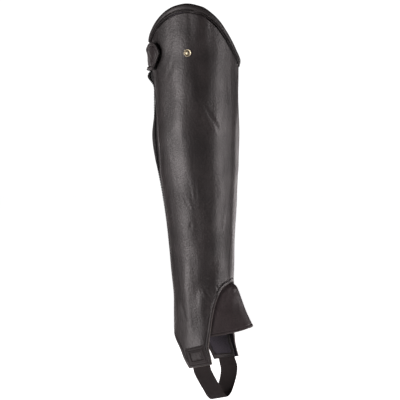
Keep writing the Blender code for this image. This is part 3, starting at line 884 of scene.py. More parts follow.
def skirt_place(row, w, inner):
    """A place on a skirt: row runs down its table, and w from its back edge to its front edge."""
    back_z, outer_back, inner_back, front_z, outer_front, inner_front = (
        curve(row) for curve in skirt_curves
    )
    back, front = (inner_back, inner_front) if inner else (outer_back, outer_front)
    turn = blend(back, front, w)
    return (180.0 - turn if inner else turn), blend(back_z, front_z, w)


def panel_rise(turn, z, depth):
    """The leather's creases, its slow unevenness, and the tuck and gathers below the binding."""
    around, below = round_leg(turn), top_height(turn) - z
    gathers = swell("gathers", around, below) * math.exp(-max(0.0, below) / GATHERS_REACH)
    slow = swell("panel", around, z) + swell("streaks", around, z) + gathers
    drawn_in = tuck(turn, z) if below < TUCK_REACH else 0.0
    return depth * (crease_rise(CREASES, turn, z) + slow) + drawn_in


def panel_spot(turn, z):
    depth = bpy.context.scene.half_chap.crease_depth
    return spot_on(leg_point, turn, z, 0.0, panel_rise(turn, z, depth))


def build_main_panel():
    across = even(0.0, 1.0, PANEL_COLUMNS)
    shares = [spacing(t, 0.0) for t in across]
    columns = shares + [2.0 - share for share in reversed(shares[:-1])]
    tops = [top_edge_place(column)[1] for column in columns]
    # The rows are close beside the binding, and draw together towards the arch.
    drawn = [1.4 * t - 0.4 * t**3 for t in even(0.0, 1.0, PANEL_TUBE_ROWS)]
    downs = even(0.0, BESIDE_BINDING, BINDING_ROWS)[:-1]
    downs += [blend(BESIDE_BINDING, 1.0, t) for t in drawn]
    tube_rows = []
    for down in downs:
        heights = [blend(top, ARCH_TOP, down) for top in tops]
        tube_rows.append([panel_spot(tube_turn(c, z), z) for c, z in zip(columns, heights)])
    grids = [tube_rows]
    for inner in (False, True):
        rows = []
        for t in even(0.0, 1.0, PANEL_SKIRT_ROWS):
            widths = [spacing(share, smooth(t * 12)) for share in across]
            row = [panel_spot(*skirt_place(t * SKIRT_LAST, w, inner)) for w in widths]
            rows.append(row[::-1] if inner else row)
        grids.append(rows)
    piece = cloth(
        "main_panel_leather", grids, WALL, ["coated cowhide", "brushed textile backing"],
        edge="main_panel", hidden_rows=[tube_rows[0]],
    )
    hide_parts("main_panel")
    return piece


# The rolled binding

BINDING_RINGS = 260
LEVEL_BINDING, STEEP_BINDING = 1.0, 1.20
TUCK_BELOW, TUCK_DEPTH, TUCK_WIDTH, TUCK_REACH = 8.35, 1.7, 0.75, 20.0


def rounded_loop(points, steps):
    """A closed smooth curve through a loop of points, with so many steps between two of them."""
    count = len(points)
    loop = []
    for i in range(count):
        a, b, c, d = (Vector(points[(i + k) % count]) for k in (-1, 0, 1, 2))
        for step in range(steps):
            t = step / steps
            bend, twist = 2 * a - 5 * b + 4 * c - d, 3 * b - a - 3 * c + d
            loop.append(0.5 * (2 * b + (c - a) * t + bend * t**2 + twist * t**3))
    return loop


def binding_point(turn, z, along, below, out):
    """A point of the strip, which keeps nearly an even height and is narrower where the edge is steep."""
    if below > 0:
        level = abs(along.x)
        below *= level * blend(STEEP_BINDING, LEVEL_BINDING, level)
    return leg_point(*sideways(turn, z, along, below), out)


def top_edge_line(count):
    return directed([top_edge_place(share) for share in even(0.0, 2.0, count)])


@cache
def tuck_line():
    """The line below the binding along which the panel is drawn in under it."""
    places = top_edge_line(1200)
    line = kdtree.KDTree(len(places))
    for i, (turn, z, along) in enumerate(places):
        line.insert(binding_point(turn, z, along, TUCK_BELOW, 0.0), i)
    line.balance()
    return line


def tuck(turn, z):
    off = tuck_line().find(leg_point(turn, z))[2]
    return -TUCK_DEPTH * bell(off, TUCK_WIDTH)


def build_top_binding():
    profile = rounded_loop(BINDING_PROFILE, 3)
    rings = []
    for turn, z, along in top_edge_line(BINDING_RINGS):
        ring = []
        for below, out in profile:
            if out > 0.6:
                out += swell("binding", round_leg(turn) + 2 * below, below)
            ring.append(binding_point(turn, z, along, below, out))
        rings.append(ring)
    # The binding's finish is darkened as painted shade.
    piece = tube("top_binding_leather", rings, ["rolled cowhide"], sharp=60)
    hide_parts("top_binding")
    return piece


# The elastic panel and the zip

REAR_ROWS = 150
GORE_RIBS, GORE_STEPS, GORE_RIB_DEPTH = 27, 6, 0.28
REAR_TOP_TURNS, REAR_TOP_HEIGHTS = (-108.0, -58.0), (96.0, 113.0)
REAR_HEM_LIFT, REAR_HEM_BEND = 3.0, 1.5
TOOTHED_SHARES = (0.02, 0.992)  # where the zip's teeth start and end down the back


def rear_top(turn):
    low, high = REAR_TOP_TURNS
    return blend(*REAR_TOP_HEIGHTS, clamp((turn - low) / (high - low)))


def rear_hem(turn):
    return HEEL_HEM + REAR_HEM_LIFT * math.cos(math.radians(turn + 90.0) * REAR_HEM_BEND)


def rear_place(turn_at, share):
    """A place down the back, where a station's turn depends on its height."""
    turn = turn_at(0.0)
    for _ in range(4):
        z = blend(rear_top(turn), rear_hem(turn), share)
        turn = turn_at(z)
    return turn, z


def rear_spot(turn_at, out, rise, share):
    return spot_on(rear_point, *rear_place(turn_at, share), out, rise)


def rear_grid(stations):
    """Rows of spots down the back. A station is a function from height to turn, an offset and a rise."""
    shares = even(0.0, 1.0, REAR_ROWS)
    return [[rear_spot(*station, share) for station in stations] for share in shares]


def zip_edge(z, distance):
    return outer_edge(z) - degrees_of(distance, z, outer_edge(z))


def elastic_turn(z, share):
    inner = inner_edge(z) - 360.0
    if share < 0:
        return inner + share * degrees_of(ELASTIC_UNDERLAP, z, inner)
    if share > 1:
        return blend(zip_edge(z, ZIP_GAP + ZIP_UNDERLAP), zip_edge(z, ZIP_GAP), share - 1)
    return blend(inner, zip_edge(z, ZIP_GAP + ZIP_UNDERLAP), share)


def build_elastic_panel():
    under_tape = TAPE_OUT - TAPE_WALL - SEAM_GAP
    shares = [-1.0, -0.5] + even(0.0, 1.0, GORE_RIBS * GORE_STEPS) + [1.5, 2.0]
    stations = []
    for share in shares:
        inside = clamp(share)
        out = blend(UNDER_LEATHER - SEAM_GAP, under_tape, inside)
        rib = -GORE_RIB_DEPTH * abs(math.cos(math.pi * GORE_RIBS * inside)) ** 3
        stations.append((lambda z, share=share: elastic_turn(z, share), out, rib))
    piece = cloth("elastic_panel_gore", [rear_grid(stations)], ELASTIC_WALL, ["knitted gore"])
    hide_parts("elastic_panel")
    return piece


def zip_station(distance):
    return (lambda z: zip_edge(z, distance)), TAPE_OUT, 0.0


def build_zip_tapes():
    middle = ZIP_GAP / 2
    pieces = []
    for name, start, end in (
        ("zip_tape_outer", middle - SEAM_GAP, -ZIP_UNDERLAP),
        ("zip_tape_rear", ZIP_GAP + ZIP_UNDERLAP, middle + SEAM_GAP),
    ):
        stations = [zip_station(distance) for distance in even(start, end, 10)]
        piece = cloth(name + "_cloth", [rear_grid(stations)], TAPE_WALL, ["zip tape"])
        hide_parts(name)
        pieces.append(piece)
    return pieces


def line_object(lines):
    """A scratch object of open lines. Each point has its place and the direction out of the cloth."""
    points, edges, outward = [], [], []
    for line in lines:
        first = len(points)
        points += [point * MM for point, _ in line]
        outward += [value for _, direction in line for value in direction]
        edges += [(first + i, first + i + 1) for i in range(len(line) - 1)]
    mesh = bpy.data.meshes.new("lines")
    mesh.from_pydata(points, edges, [])
    mesh.attributes.new("outward", "FLOAT_VECTOR", "POINT").data.foreach_set("vector", outward)
    return placed("lines", mesh)


BEAD_SIZES = ("Pitch", "Length", "Width", "Height")


def beads_tree():
    """Geometry nodes that lay small rounded beads along lines at an even pitch."""
    name = "Beads along lines"
    if name in bpy.data.node_groups:
        return bpy.data.node_groups[name]
    tree = bpy.data.node_groups.new(name, "GeometryNodeTree")
    kinds = {"Geometry": "Geometry", **dict.fromkeys(BEAD_SIZES, "Float"), "Material": "Material"}
    for label, kind in kinds.items():
        tree.interface.new_socket(label, in_out="INPUT", socket_type="NodeSocket" + kind)
    tree.interface.new_socket("Geometry", in_out="OUTPUT", socket_type="NodeSocketGeometry")
    inputs = node(tree, "NodeGroupInput").node.outputs
    strands = node(tree, "GeometryNodeMeshToCurve", {"Mesh": inputs["Geometry"]})
    spread = {"Curve": strands, "Length": inputs["Pitch"]}
    points = node(tree, "GeometryNodeCurveToPoints", spread, mode="LENGTH")
    outward = node(tree, "GeometryNodeInputNamedAttribute", {"Name": "outward"}, data_type="FLOAT_VECTOR")
    upright = node(tree, "FunctionNodeAlignRotationToVector", {"Vector": outward}, axis="Z")
    facing = {"Rotation": upright, "Vector": points.node.outputs["Tangent"]}
    turned = node(tree, "FunctionNodeAlignRotationToVector", facing, axis="X", pivot_axis="Z")
    bead = node(tree, "GeometryNodeMeshUVSphere", {"Segments": 8, "Rings": 5, "Radius": 0.5})
    sides = {"X": inputs["Length"], "Y": inputs["Width"], "Z": inputs["Height"]}
    size = node(tree, "ShaderNodeCombineXYZ", sides)
    sized = node(tree, "GeometryNodeTransform", {"Geometry": bead, "Scale": size})
    spots = {"Points": points, "Instance": sized, "Rotation": turned}
    beads = node(tree, "GeometryNodeInstanceOnPoints", spots)
    real = node(tree, "GeometryNodeRealizeInstances", {"Geometry": beads})
    ready = {"Geometry": real, "Material": inputs["Material"]}
    painted = node(tree, "GeometryNodeSetMaterial", ready)
    plug(tree.nodes.new("NodeGroupOutput"), {"Geometry": painted})
    return tree


def lay_beads(name, lines, sizes, finish_name):
    """Lays beads along lines, and keeps them as a plain mesh. The sizes are those of BEAD_SIZES."""
    guide = line_object(lines)
    tree = beads_tree()
    modifier = guide.modifiers.new("Beads", "NODES")
    modifier.node_group = tree
    settings = dict(zip(BEAD_SIZES, (size * MM for size in sizes)))
    settings["Material"] = finish(finish_name)
    for item in tree.interface.items_tree:
        if item.in_out == "INPUT" and item.name in settings:
            modifier[item.identifier] = settings[item.name]
    graph = bpy.context.evaluated_depsgraph_get()
    mesh = bpy.data.meshes.new_from_object(guide.evaluated_get(graph))
    bpy.data.objects.remove(guide)
    mesh.name = name
    mesh.shade_smooth()
    return riding(name, mesh)


def rear_line(distance, out, shift):
    """A line down the back at a distance behind the leather's zip edge, with its outward direction."""
    line = []
    for share in even(*TOOTHED_SHARES, 220):
        turn, z = rear_place(lambda z: zip_edge(z, distance), share + shift)
        line.append(on_cloth(rear_point, turn, z, out))
    return line


TOOTH_PITCH, TOOTH_LENGTH, TOOTH_WIDTH, MESHED = 2.2, 1.5, 3.4, 0.75
ZIP_LENGTH = 366.0
SLIDER_BEVEL, PULL_BEVEL = 0.25, 0.22


def build_zip_chain():
    """Two rows of coil teeth that mesh at the zip's middle."""
    middle, out = ZIP_GAP / 2, CHAIN_OUT - ZIP_CHAIN_HEIGHT / 2
    half_pitch = TOOTH_PITCH / 2 / ZIP_LENGTH
    lines = [rear_line(middle + MESHED, out, 0.0), rear_line(middle - MESHED, out, half_pitch)]
    sizes = (TOOTH_PITCH, TOOTH_LENGTH, TOOTH_WIDTH, ZIP_CHAIN_HEIGHT)
    piece = lay_beads("zip_teeth", lines, sizes, "moulded nylon")
    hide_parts("zip_chain")


def back_frame(turn, z, out):
    """Across, up and outward axes at a place on the back."""
    centre, outward = on_cloth(rear_point, turn, z, out)
    up = Vector((0, 0, 1))
    frame_axes = Matrix((up.cross(outward), up, outward)).transposed().to_4x4()
    frame_axes.translation = centre
    return frame_axes


def plates(name, axes, outlines, bevel):
    """Bevelled nickel plates in one piece. An outline is its points, and its low and high face."""
    shape = bmesh.new()
    for outline, low, high in outlines:
        base = [shape.verts.new(axes @ Vector((x, y, low))) for x, y in outline]
        top = [shape.verts.new(axes @ Vector((x, y, high))) for x, y in outline]
        shape.faces.new(list(reversed(base)))
        shape.faces.new(top)
        for i in range(len(outline)):
            j = (i + 1) % len(outline)
            shape.faces.new((base[i], base[j], top[j], top[i]))
    bmesh.ops.recalc_face_normals(shape, faces=shape.faces)
    bmesh.ops.bevel(shape, geom=list(shape.edges), offset=bevel, segments=3, affect="EDGES")
    points = [vert.co.copy() for vert in shape.verts]
    shape.verts.index_update()
    faces = [tuple(vert.index for vert in face.verts) for face in shape.faces]
    shape.free()
    return new_piece(name, points, faces, ["nickel plate"], 60)


SLIDER_PLATE = ((-4.0, 4.3), (4.0, 4.3), (4.0, 0.5), (2.7, -4.3), (-2.7, -4.3), (-4.0, 0.5))
SLIDER_BRIDGE = ((-1.1, 3.6), (1.1, 3.6), (1.1, -3.2), (-1.1, -3.2))
PULL_SIDE = ((1.4, 5.5), (2.1, 2.5), (2.5, -3.5), (1.7, -5.4))
PULL_OUTLINE = ((-1.4, 5.5), *PULL_SIDE, *((-x, y) for x, y in reversed(PULL_SIDE[1:])))


def build_zip_slider():
    slider_axes = back_frame(zip_edge(SLIDER_Z, ZIP_GAP / 2), SLIDER_Z, TAPE_OUT + SEAM_GAP)
    outlines = [(SLIDER_PLATE, 0.0, 0.9), (SLIDER_PLATE, 1.7, 2.6), (SLIDER_BRIDGE, 0.85, 1.75)]
    slider = plates("zip_slider_metal", slider_axes, outlines, SLIDER_BEVEL)
    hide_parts("zip_slider")
    pull_axes = back_frame(zip_edge(PULL_Z, ZIP_GAP / 2), PULL_Z, CHAIN_OUT + PULL_LIFT)
    ring = [(x * 0.62, y * 0.72 - 0.4) for x, y in PULL_OUTLINE]
    outlines = [(PULL_OUTLINE, 0.0, 0.8), (ring, 0.7, 1.15)]
    pull = plates("zip_pull_metal", pull_axes, outlines, PULL_BEVEL)
    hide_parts("zip_pull")


# The snap flap and the studs

FLAP_COLUMNS, FLAP_ROWS = 130, 44
FLAP_PRESSED = 0.25  # how much of the puffed zip's height the flap presses flat


def flap_place(along, across):
    """A place on the flap: along from its sewn end to its tip, across from its low to its high edge."""
    turn = blend(FLAP[0][0], FLAP[-1][0], along)
    return turn, blend(flap_low(turn), flap_high(turn), across)


def flap_rise(turn, z):
    around = round_leg(turn)
    wrinkles = swell("flap wrinkles", around + z, z - around)
    return crease_rise(FLAP_CREASES, turn, z) + swell("flap", around, z) + wrinkles


def flap_out(turn, z):
    return flap_lift(turn) - FLAP_PRESSED * rear_puff(turn, z)


def flap_spot(along, across):
    turn, z = flap_place(along, across)
    return spot_on(rear_point, turn, z, flap_out(turn, z), flap_rise(turn, z))


def build_snap_flap():
    alongs = [1 - (1 - t) ** 1.7 for t in even(0.0, 1.0, FLAP_COLUMNS)]
    downs = [spacing(1 - t, 1.0) for t in even(0.0, 1.0, FLAP_ROWS)]
    rows = [[flap_spot(along, down) for along in alongs] for down in downs]
    finishes = ["folded cowhide", "folded cowhide", "edge paint"]
    piece = cloth("snap_flap_leather", [rows], FLAP_WALL, finishes, edge="snap_flap")
    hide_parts("snap_flap")
    return piece


STUD_SIDES = 64


def turned_piece(name, turn, z, profile, finish_name):
    """A turned piece that stands on the leather. The profile's rows are radius and height."""
    base, outward = on_cloth(leg_point, turn, z, 0.0)
    axes = outward.to_track_quat("Z", "Y").to_matrix().to_4x4()
    axes.translation = base
    angles = [2 * math.pi * i / STUD_SIDES for i in range(STUD_SIDES)]
    rings = [
        [axes @ Vector((radius * math.cos(a), radius * math.sin(a), height)) for a in angles]
        for radius, height in profile
    ]
    return tube(name, rings, [finish_name], sharp=35)


def build_snap_stud():
    """The snap, shut: a flat socket with its narrower cap up under the flap."""
    lift = flap_lift(SNAP_TURN) - FLAP_WALL
    profile = (
        # radius as a share, height
        (0.94, SEAM_GAP), (1.0, SEAM_GAP + 0.15), (1.0, 0.85), (0.94, 1.0), (0.82, 1.1),
        (0.80, 1.3), (0.80, lift - 0.6), (0.76, lift - 0.5),
    )
    profile = [(SNAP_RADIUS * share, height) for share, height in profile]
    piece = turned_piece("snap_stud_metal", SNAP_TURN, SNAP_Z, profile, "nickel plate")
    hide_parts("snap_stud")


STUD_RUB_FROM, STUD_RUB_OVER = 1.05, 0.5  # the height at which the rubbing starts, and its reach


def build_brass_stud():
    """A struck stud: a rolled rim round a sunk ring, with a low dome in the middle."""
    profile = (
        # radius as a share, height
        (0.92, SEAM_GAP), (0.98, 0.45), (1.00, 0.8), (0.99, 1.2), (0.95, 1.55), (0.89, 1.72),
        (0.82, 1.66), (0.76, 1.4), (0.70, 1.1), (0.62, 0.98), (0.52, 1.02), (0.42, 1.15),
        (0.32, 1.3), (0.22, 1.4), (0.12, 1.45), (0.03, 1.46),
    )
    profile = [(radius * STUD_RADIUS, height) for radius, height in profile]
    piece = turned_piece("brass_stud_metal", STUD_TURN, STUD_Z, profile, "antique brass")
    rubbed = [clamp((height - STUD_RUB_FROM) / STUD_RUB_OVER) for _, height in profile]
    add_paleness(piece.data, [share for share in rubbed for _ in range(STUD_SIDES)])
    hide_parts("brass_stud")


# The instep gusset

GUSSET_LAST = len(GUSSET) - 1
GUSSET_RIBS, GUSSET_STEPS = 84, 60
GUSSET_SEAM_ABOVE = 0.42  # a share of the last row's height
GUSSET_UV = (9.0, 40.0)  # how much cloth a row takes up, and each side from the arch to the fold


def gusset_edge(row):
    """The arch's edge beside the gusset, and the direction along it on the unrolled leather."""
    turn, edge_z = gusset_curves[0](row), gusset_curves[1](row)
    low, high = max(0.0, row - 0.2), min(float(GUSSET_LAST), row + 0.2)
    across = (gusset_curves[0](high) - gusset_curves[0](low)) / degrees_of(1.0, edge_z, turn)
    along = Vector((across, gusset_curves[1](high) - gusset_curves[1](low))).normalized()
    return turn, edge_z, along.lerp(Vector((-1.0, 0.0)), max(0.0, 1 - row)).normalized()


def gusset_point(row, share):
    """A point of the gusset's outer side: share runs from -1, hidden, by 0 at the arch to 1 at the fold."""
    under = blend(-PAST_EDGE, GUSSET_UNDERLAP, -min(share, 0.0))
    edge = leg_point(*sideways(*gusset_edge(row), under), UNDER_LEATHER - SEAM_GAP)
    if share <= 0:
        return edge
    fold = leg_point(SHIN, gusset_curves[2](row)) + Vector((gusset_curves[3](row), 0, 0))
    ahead = 1 - (1 - share) ** FOLD_SHARPNESS
    return Vector((blend(edge.x, fold.x, ahead), edge.y * (1 - share), blend(edge.z, fold.z, share)))


def gusset_spot(row, share, inner):
    point = gusset_point(row, share)
    if inner:
        point.y = -point.y
    folds = swell("inner gusset" if inner else "outer gusset", row, share)
    soft = folds * smooth(row / 3) * smooth((1 - share) * 3)
    along, across = GUSSET_UV
    return Spot(point, soft, (row * along * MM, share * across * MM * (-1 if inner else 1)))


def build_instep_gusset():
    shares = [-1.0, -0.5, -0.15] + even(0.0, 1.0, GUSSET_STEPS)
    ribs = [GUSSET_LAST * (1 - (1 - t) ** 1.4) for t in even(0.0, 1.0, GUSSET_RIBS)]
    outer = [[gusset_spot(row, share, False) for share in shares] for row in ribs]
    inner = [[gusset_spot(row, share, True) for share in shares] for row in reversed(ribs[1:])]
    rows = inner + outer
    # The gusset's finish is painted paler, as painted light.
    piece = cloth(
        "instep_gusset_leather",
        [rows],
        GUSSET_WALL,
        ["gusset cowhide"],
        edge="instep_gusset",
        hidden_rows=[[row[0] for row in rows]],
    )
    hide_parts("instep_gusset")
    return piece


# The strap, and what is sewn to the tabs

STRAP_STEPS, STRAP_COLUMNS = 150, 30


def turn_at(x, z):
    shin, back = shin_reach(z), back_reach(z)
    return math.degrees(math.asin((2 * x - shin - back) / (shin - back)))


def on_tab(place, inner, out):
    point = leg_point(turn_at(place.x, place.z), place.z, out)
    return Vector((point.x, -point.y if inner else point.y, place.z))


STRAP_EDGE_SHARPNESS, STRAP_EDGE_THINNING = 14, 0.75
STRAP_NEAR = 1 / 34  # the share of the strap over which its direction is taken


def strap_centre(step):
    return Vector(curve(step) for curve in strap_curves[:3])


def strap_point(step, across, face):
    """A point of the strap: across from -1 to 1, and face -1 on its foot side or 1 on its under side."""
    last = len(STRAP_PATH) - 1
    lean = math.radians(STRAP_LEAN)
    width = Vector((math.cos(lean), 0, math.sin(lean))) * STRAP_WIDTH / 2
    near = last * STRAP_NEAR
    ahead, behind = min(step + near, last), max(step - near, 0.0)
    along = (strap_centre(ahead) - strap_centre(behind)).normalized()
    outward = along.cross(width).normalized()
    thinned = abs(across) ** STRAP_EDGE_SHARPNESS * STRAP_EDGE_THINNING
    half = STRAP_WALL / 2 * (1 - thinned) * face
    place = strap_centre(step) + width * across
    depth = UNDER_LEATHER - STRAP_WALL / 2 + half
    sewn = strap_curves[3](step)
    return (place + outward * half).lerp(on_tab(place, step > last / 2, depth), sewn)


def build_foot_strap():
    last, length = len(STRAP_PATH) - 1, CUTS["foot_strap_elastic"][1]
    rings, uvs = [], []
    for step in even(0.0, last, STRAP_STEPS):
        ring = []
        for face in (-1, 1):
            for t in even(-1.0, 1.0, STRAP_COLUMNS):
                across = math.sin(math.pi / 2 * t) * -face
                ring.append(strap_point(step, across, face))
                uvs.append((across * STRAP_WIDTH / 2 * MM, step / last * length * MM))
        rings.append(ring)
    piece = tube("foot_strap_elastic", rings, ["woven elastic"], uvs=uvs)
    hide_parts("foot_strap")
    return piece


def tab_place(corners, across, down, inner):
    """A place on a four-sided tab piece: across from its back to its front, down from its top."""
    upper_back, upper_front, lower_back, lower_front = (Vector(corner) for corner in corners)
    turn, z = upper_back.lerp(lower_back, down).lerp(upper_front.lerp(lower_front, down), across)
    return (180.0 - turn if inner else turn), z


PATCH_OUT = SEAM_GAP + PATCH_WALL
PATCH_FRAME, FRAME_HEIGHT, FRAME_HALF = 5.0, 0.70, 0.8
LINE_OFF, LINE_DEPTH, LINE_HALF = 1.7, 0.35, 0.5
PATCH_SUNK = 0.15
PATCH_SEAM = (0.07, 0.085)


def patch_rise(across, down):
    """A plain square frame pressed up round the patch's bare middle."""
    inset = min(min(across, 1 - across) * PATCH_WIDTH, min(down, 1 - down) * PATCH_HEIGHT)
    off = abs(inset - PATCH_FRAME)
    ridge = FRAME_HEIGHT * bell(off, FRAME_HALF)
    lines = LINE_DEPTH * bell(off - LINE_OFF, LINE_HALF)
    middle = smooth((inset - PATCH_FRAME) / 1.5)
    worn = swell("patch", across * PATCH_WIDTH, down * PATCH_HEIGHT)
    return ridge - lines + (worn - PATCH_SUNK) * middle


def tab_grid(corners, columns, rows, out, inner, rise_at):
    grid = []
    for down in even(0.0, 1.0, rows):
        row = []
        for across in even(0.0, 1.0, columns):
            turn, z = tab_place(corners, across, down, inner)
            row.append(spot_on(leg_point, turn, z, out, rise_at(across, down)))
        grid.append(row[::-1] if inner else row)
    return grid


def build_tab_patch():
    grid = tab_grid(PATCH_CORNERS, 84, 68, PATCH_OUT, False, patch_rise)
    finishes = ["pressed cowhide"]
    piece = cloth("tab_patch_leather", [grid], PATCH_WALL, finishes, edge="tab_patch")
    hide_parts("tab_patch")
    return piece


FACING_OUT = UNDER_LEATHER - STRAP_WALL - 2 * SEAM_GAP


def build_tab_facing():
    grid = tab_grid(FACING_CORNERS, 30, 30, FACING_OUT, True, lambda across, down: 0.0)
    textile = ["brushed textile backing"]
    piece = cloth("tab_facing_textile", [grid], FACING_WALL, textile)
    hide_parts("tab_facing")
    return piece


HEM_WALL, HEM_STEPS = 0.8, 30
HEM_OUT = FACING_OUT - FACING_WALL - HEM_WALL - 0.1
HEM_SIDE, HEM_BOTTOM = 0.115, 0.155


def hem_place(path, inward):
    """A place on the inner tab's turned edge, shares across and down the facing.

    The path runs from 0 to 3: down the back side, along the bottom and up the front side.
    """
    u, v = HEM_SIDE * inward, 1.0 - HEM_BOTTOM * inward
    if path <= 1:
        return u, blend(0.0, v, path)
    if path <= 2:
        return blend(u, 1.0 - u, path - 1), v
    return 1.0 - u, blend(v, 0.0, path - 2)


def build_tab_hem():
    """The leather turned in over the facing's sides and bottom."""
    grid = []
    for inward in even(1.0, 0.0, 14):
        row = []
        for path in even(0.0, 3.0, 3 * HEM_STEPS):
            turn, z = tab_place(FACING_CORNERS, *hem_place(path, inward), True)
            row.append(spot_on(leg_point, turn, z, HEM_OUT))
        grid.append(row)
    return cloth("tab_hem_leather", [grid], HEM_WALL, ["pressed cowhide"], edge="tab_hem")


# The sewing


def panel_line(places):
    """A sewing line on the leather, sunk into the groove beside a turned edge."""
    depth = bpy.context.scene.half_chap.crease_depth
    line = []
    for turn, z in places:
        out = panel_rise(turn, z, depth) + THREAD_OUT["panel"]
        line.append(on_cloth(leg_point, turn, z, out))
    return line


def panel_seams():
    """The sewing lines near the panel's edges."""
    seam = EDGES["main_panel"][0]
    lines = []
    for edge, top, side in ((outer_edge, 118, seam), (inner_edge, 98, -seam)):
        lines.append([(edge(z) + degrees_of(side, z, edge(z)), z) for z in even(top, -252, 200)])
    arch_rows = even(SKIRT_LAST - 0.4, 0.0, 150)
    outer_arch = [skirt_place(row, 1.0, False) for row in arch_rows]
    inner_arch = [skirt_place(row, 1.0, True) for row in reversed(arch_rows)]
    lines.append(beside(outer_arch + inner_arch[1:], -seam))
    for inner in (False, True):
        heel = [skirt_place(row, 0.0, inner) for row in even(7.2, SKIRT_LAST - 0.5, 90)]
        lines.append(beside(heel, seam if inner else -seam))
    return [panel_line(line) for line in lines]


def binding_seam():
    """The sewing in the groove above the binding's piping."""
    place = BINDING_SEAM_BELOW, THREAD_OUT["binding"]
    return [on_cloth(binding_point, *edge, *place) for edge in top_edge_line(300)[2:-2]]


def flap_seam():
    low = [flap_place(along, 0.0) for along in even(0.02, 1.0, 120)]
    high = [flap_place(along, 1.0) for along in even(1.0, 0.02, 120)]
    line = []
    for turn, z in beside(low + high[1:], -EDGES["snap_flap"][0]):
        out = flap_out(turn, z) + flap_rise(turn, z) + THREAD_OUT["flap"]
        line.append(on_cloth(rear_point, turn, z, out))
    return line


def patch_seam():
    """The square of sewing on the patch."""
    u, v = PATCH_SEAM
    corners = ((u, v), (1 - u, v), (1 - u, 1 - v), (u, 1 - v))
    lines = []
    for start, end in zip(corners, corners[1:] + corners[:1]):
        line = []
        for across, down in zip(*(even(a, b, 24) for a, b in zip(start, end))):
            turn, z = tab_place(PATCH_CORNERS, across, down, False)
            out = PATCH_OUT + THREAD_OUT["patch"] + patch_rise(across, down)
            line.append(on_cloth(leg_point, turn, z, out))
        lines.append(line)
    return lines


def hem_seam():
    """The sewing along the inner tab's turned bottom edge."""
    line = []
    for across in even(0.06, 0.94, 40):
        turn, z = tab_place(FACING_CORNERS, across, 1 - HEM_BOTTOM * 0.7, True)
        point, outward = on_cloth(leg_point, turn, z, HEM_OUT)
        line.append((point, -outward))
    return line


def gusset_seam():
    """The hem's sewing, a little above the gusset's lower edge."""
    row = GUSSET_LAST - GUSSET_SEAM_ABOVE
    sides = []
    for inner in (False, True):
        line = []
        for share in even(0.03, 0.97, 60):
            spot = gusset_spot(row, share, inner)
            ahead = gusset_point(row, min(1.0, share + 0.01)) - gusset_point(row, share - 0.01)
            below = gusset_point(row + 0.2, share) - gusset_point(row, share)
            if inner:
                ahead.y, below.y = -ahead.y, -below.y
            outward = below.cross(ahead).normalized() * (-1 if inner else 1)
            line.append((spot.point + outward * (spot.rise + THREAD_OUT["gusset"]), outward))
        sides.append(line)
    return sides


def build_sewing():
    sewing = bpy.context.scene.half_chap
    length, thread = sewing.stitch / MM, sewing.thread_width / MM
    sizes = (length * STITCH_AND_GAP, length, thread, thread)
    groups = {
        "stitches_panel": panel_seams(),
        "stitches_binding": [binding_seam()],
        "stitches_flap": [flap_seam()],
        "stitches_patch": patch_seam(),
        "stitches_gusset": gusset_seam(),
        "stitches_hem": [hem_seam()],
    }
    for name, lines in groups.items():
        lay_beads(name, lines, sizes, "bonded thread")


# The studio

CAMERA_AZIMUTH, CAMERA_ELEVATION, CAMERA_DISTANCE = 27.0, 3.0, 1.5
CAMERA_TARGET = Vector((0.0066, 0.0, -0.0845))
MM_PER_PIXEL, FRAME_PIXELS, SENSOR = 1.30, 400, 36.0
FLOOR_RADIUS, FLOOR_SIDES = 12.0, 96
ROOM_LIGHT, WHITE_BEHIND = 0.004, 1.1


def aimed(name, data, azimuth, elevation, distance):
    """Puts a camera or light round the target. Azimuth 0 is in front of the outer side."""
    a, e = math.radians(azimuth), math.radians(elevation)
    towards = Vector((math.sin(a) * math.cos(e), -math.cos(a) * math.cos(e), math.sin(e)))
    made = placed(name, data)
    made.location = CAMERA_TARGET + towards * distance
    made.rotation_euler = towards.to_track_quat("Z", "Y").to_euler()
    return made


def build_camera():
    data = bpy.data.cameras.new("camera")
    data.sensor_width = SENSOR
    data.lens = SENSOR * CAMERA_DISTANCE / (MM_PER_PIXEL * FRAME_PIXELS * MM)
    camera = aimed("camera", data, CAMERA_AZIMUTH, CAMERA_ELEVATION, CAMERA_DISTANCE)
    bpy.context.scene.camera = camera


SOFTBOXES = (
    # name, azimuth, elevation, distance, width, height, watts
    ("left_strip", -30, -11, 1.9, 0.55, 1.7, 38),
    ("left_soft", -13, 0, 1.9, 0.5, 1.7, 5),
    ("left_fill", -63, 0, 1.9, 0.5, 1.7, 4),
    ("left_rim", -122, 6, 1.9, 0.5, 1.3, 2),
    ("right_strip", 87, -6, 1.9, 0.45, 1.7, 26),
    ("right_fill", 117, 0, 1.9, 0.5, 1.7, 8.5),
    ("rim_strip", 172, -14, 1.9, 0.6, 1.2, 8),
    ("back_fill", 207, 20, 2.1, 1, 1.7, 14),
)
LIGHT_COLOUR = (1, 0.93, 0.935)


def build_softboxes(strength):
    for name, azimuth, elevation, distance, width, height, watts in SOFTBOXES:
        data = bpy.data.lights.new(name, "AREA")
        data.shape = "RECTANGLE"
        data.size, data.size_y = width, height
        data.energy = watts * strength
        data.color = LIGHT_COLOUR
        aimed(name, data, azimuth, elevation, distance).visible_camera = False


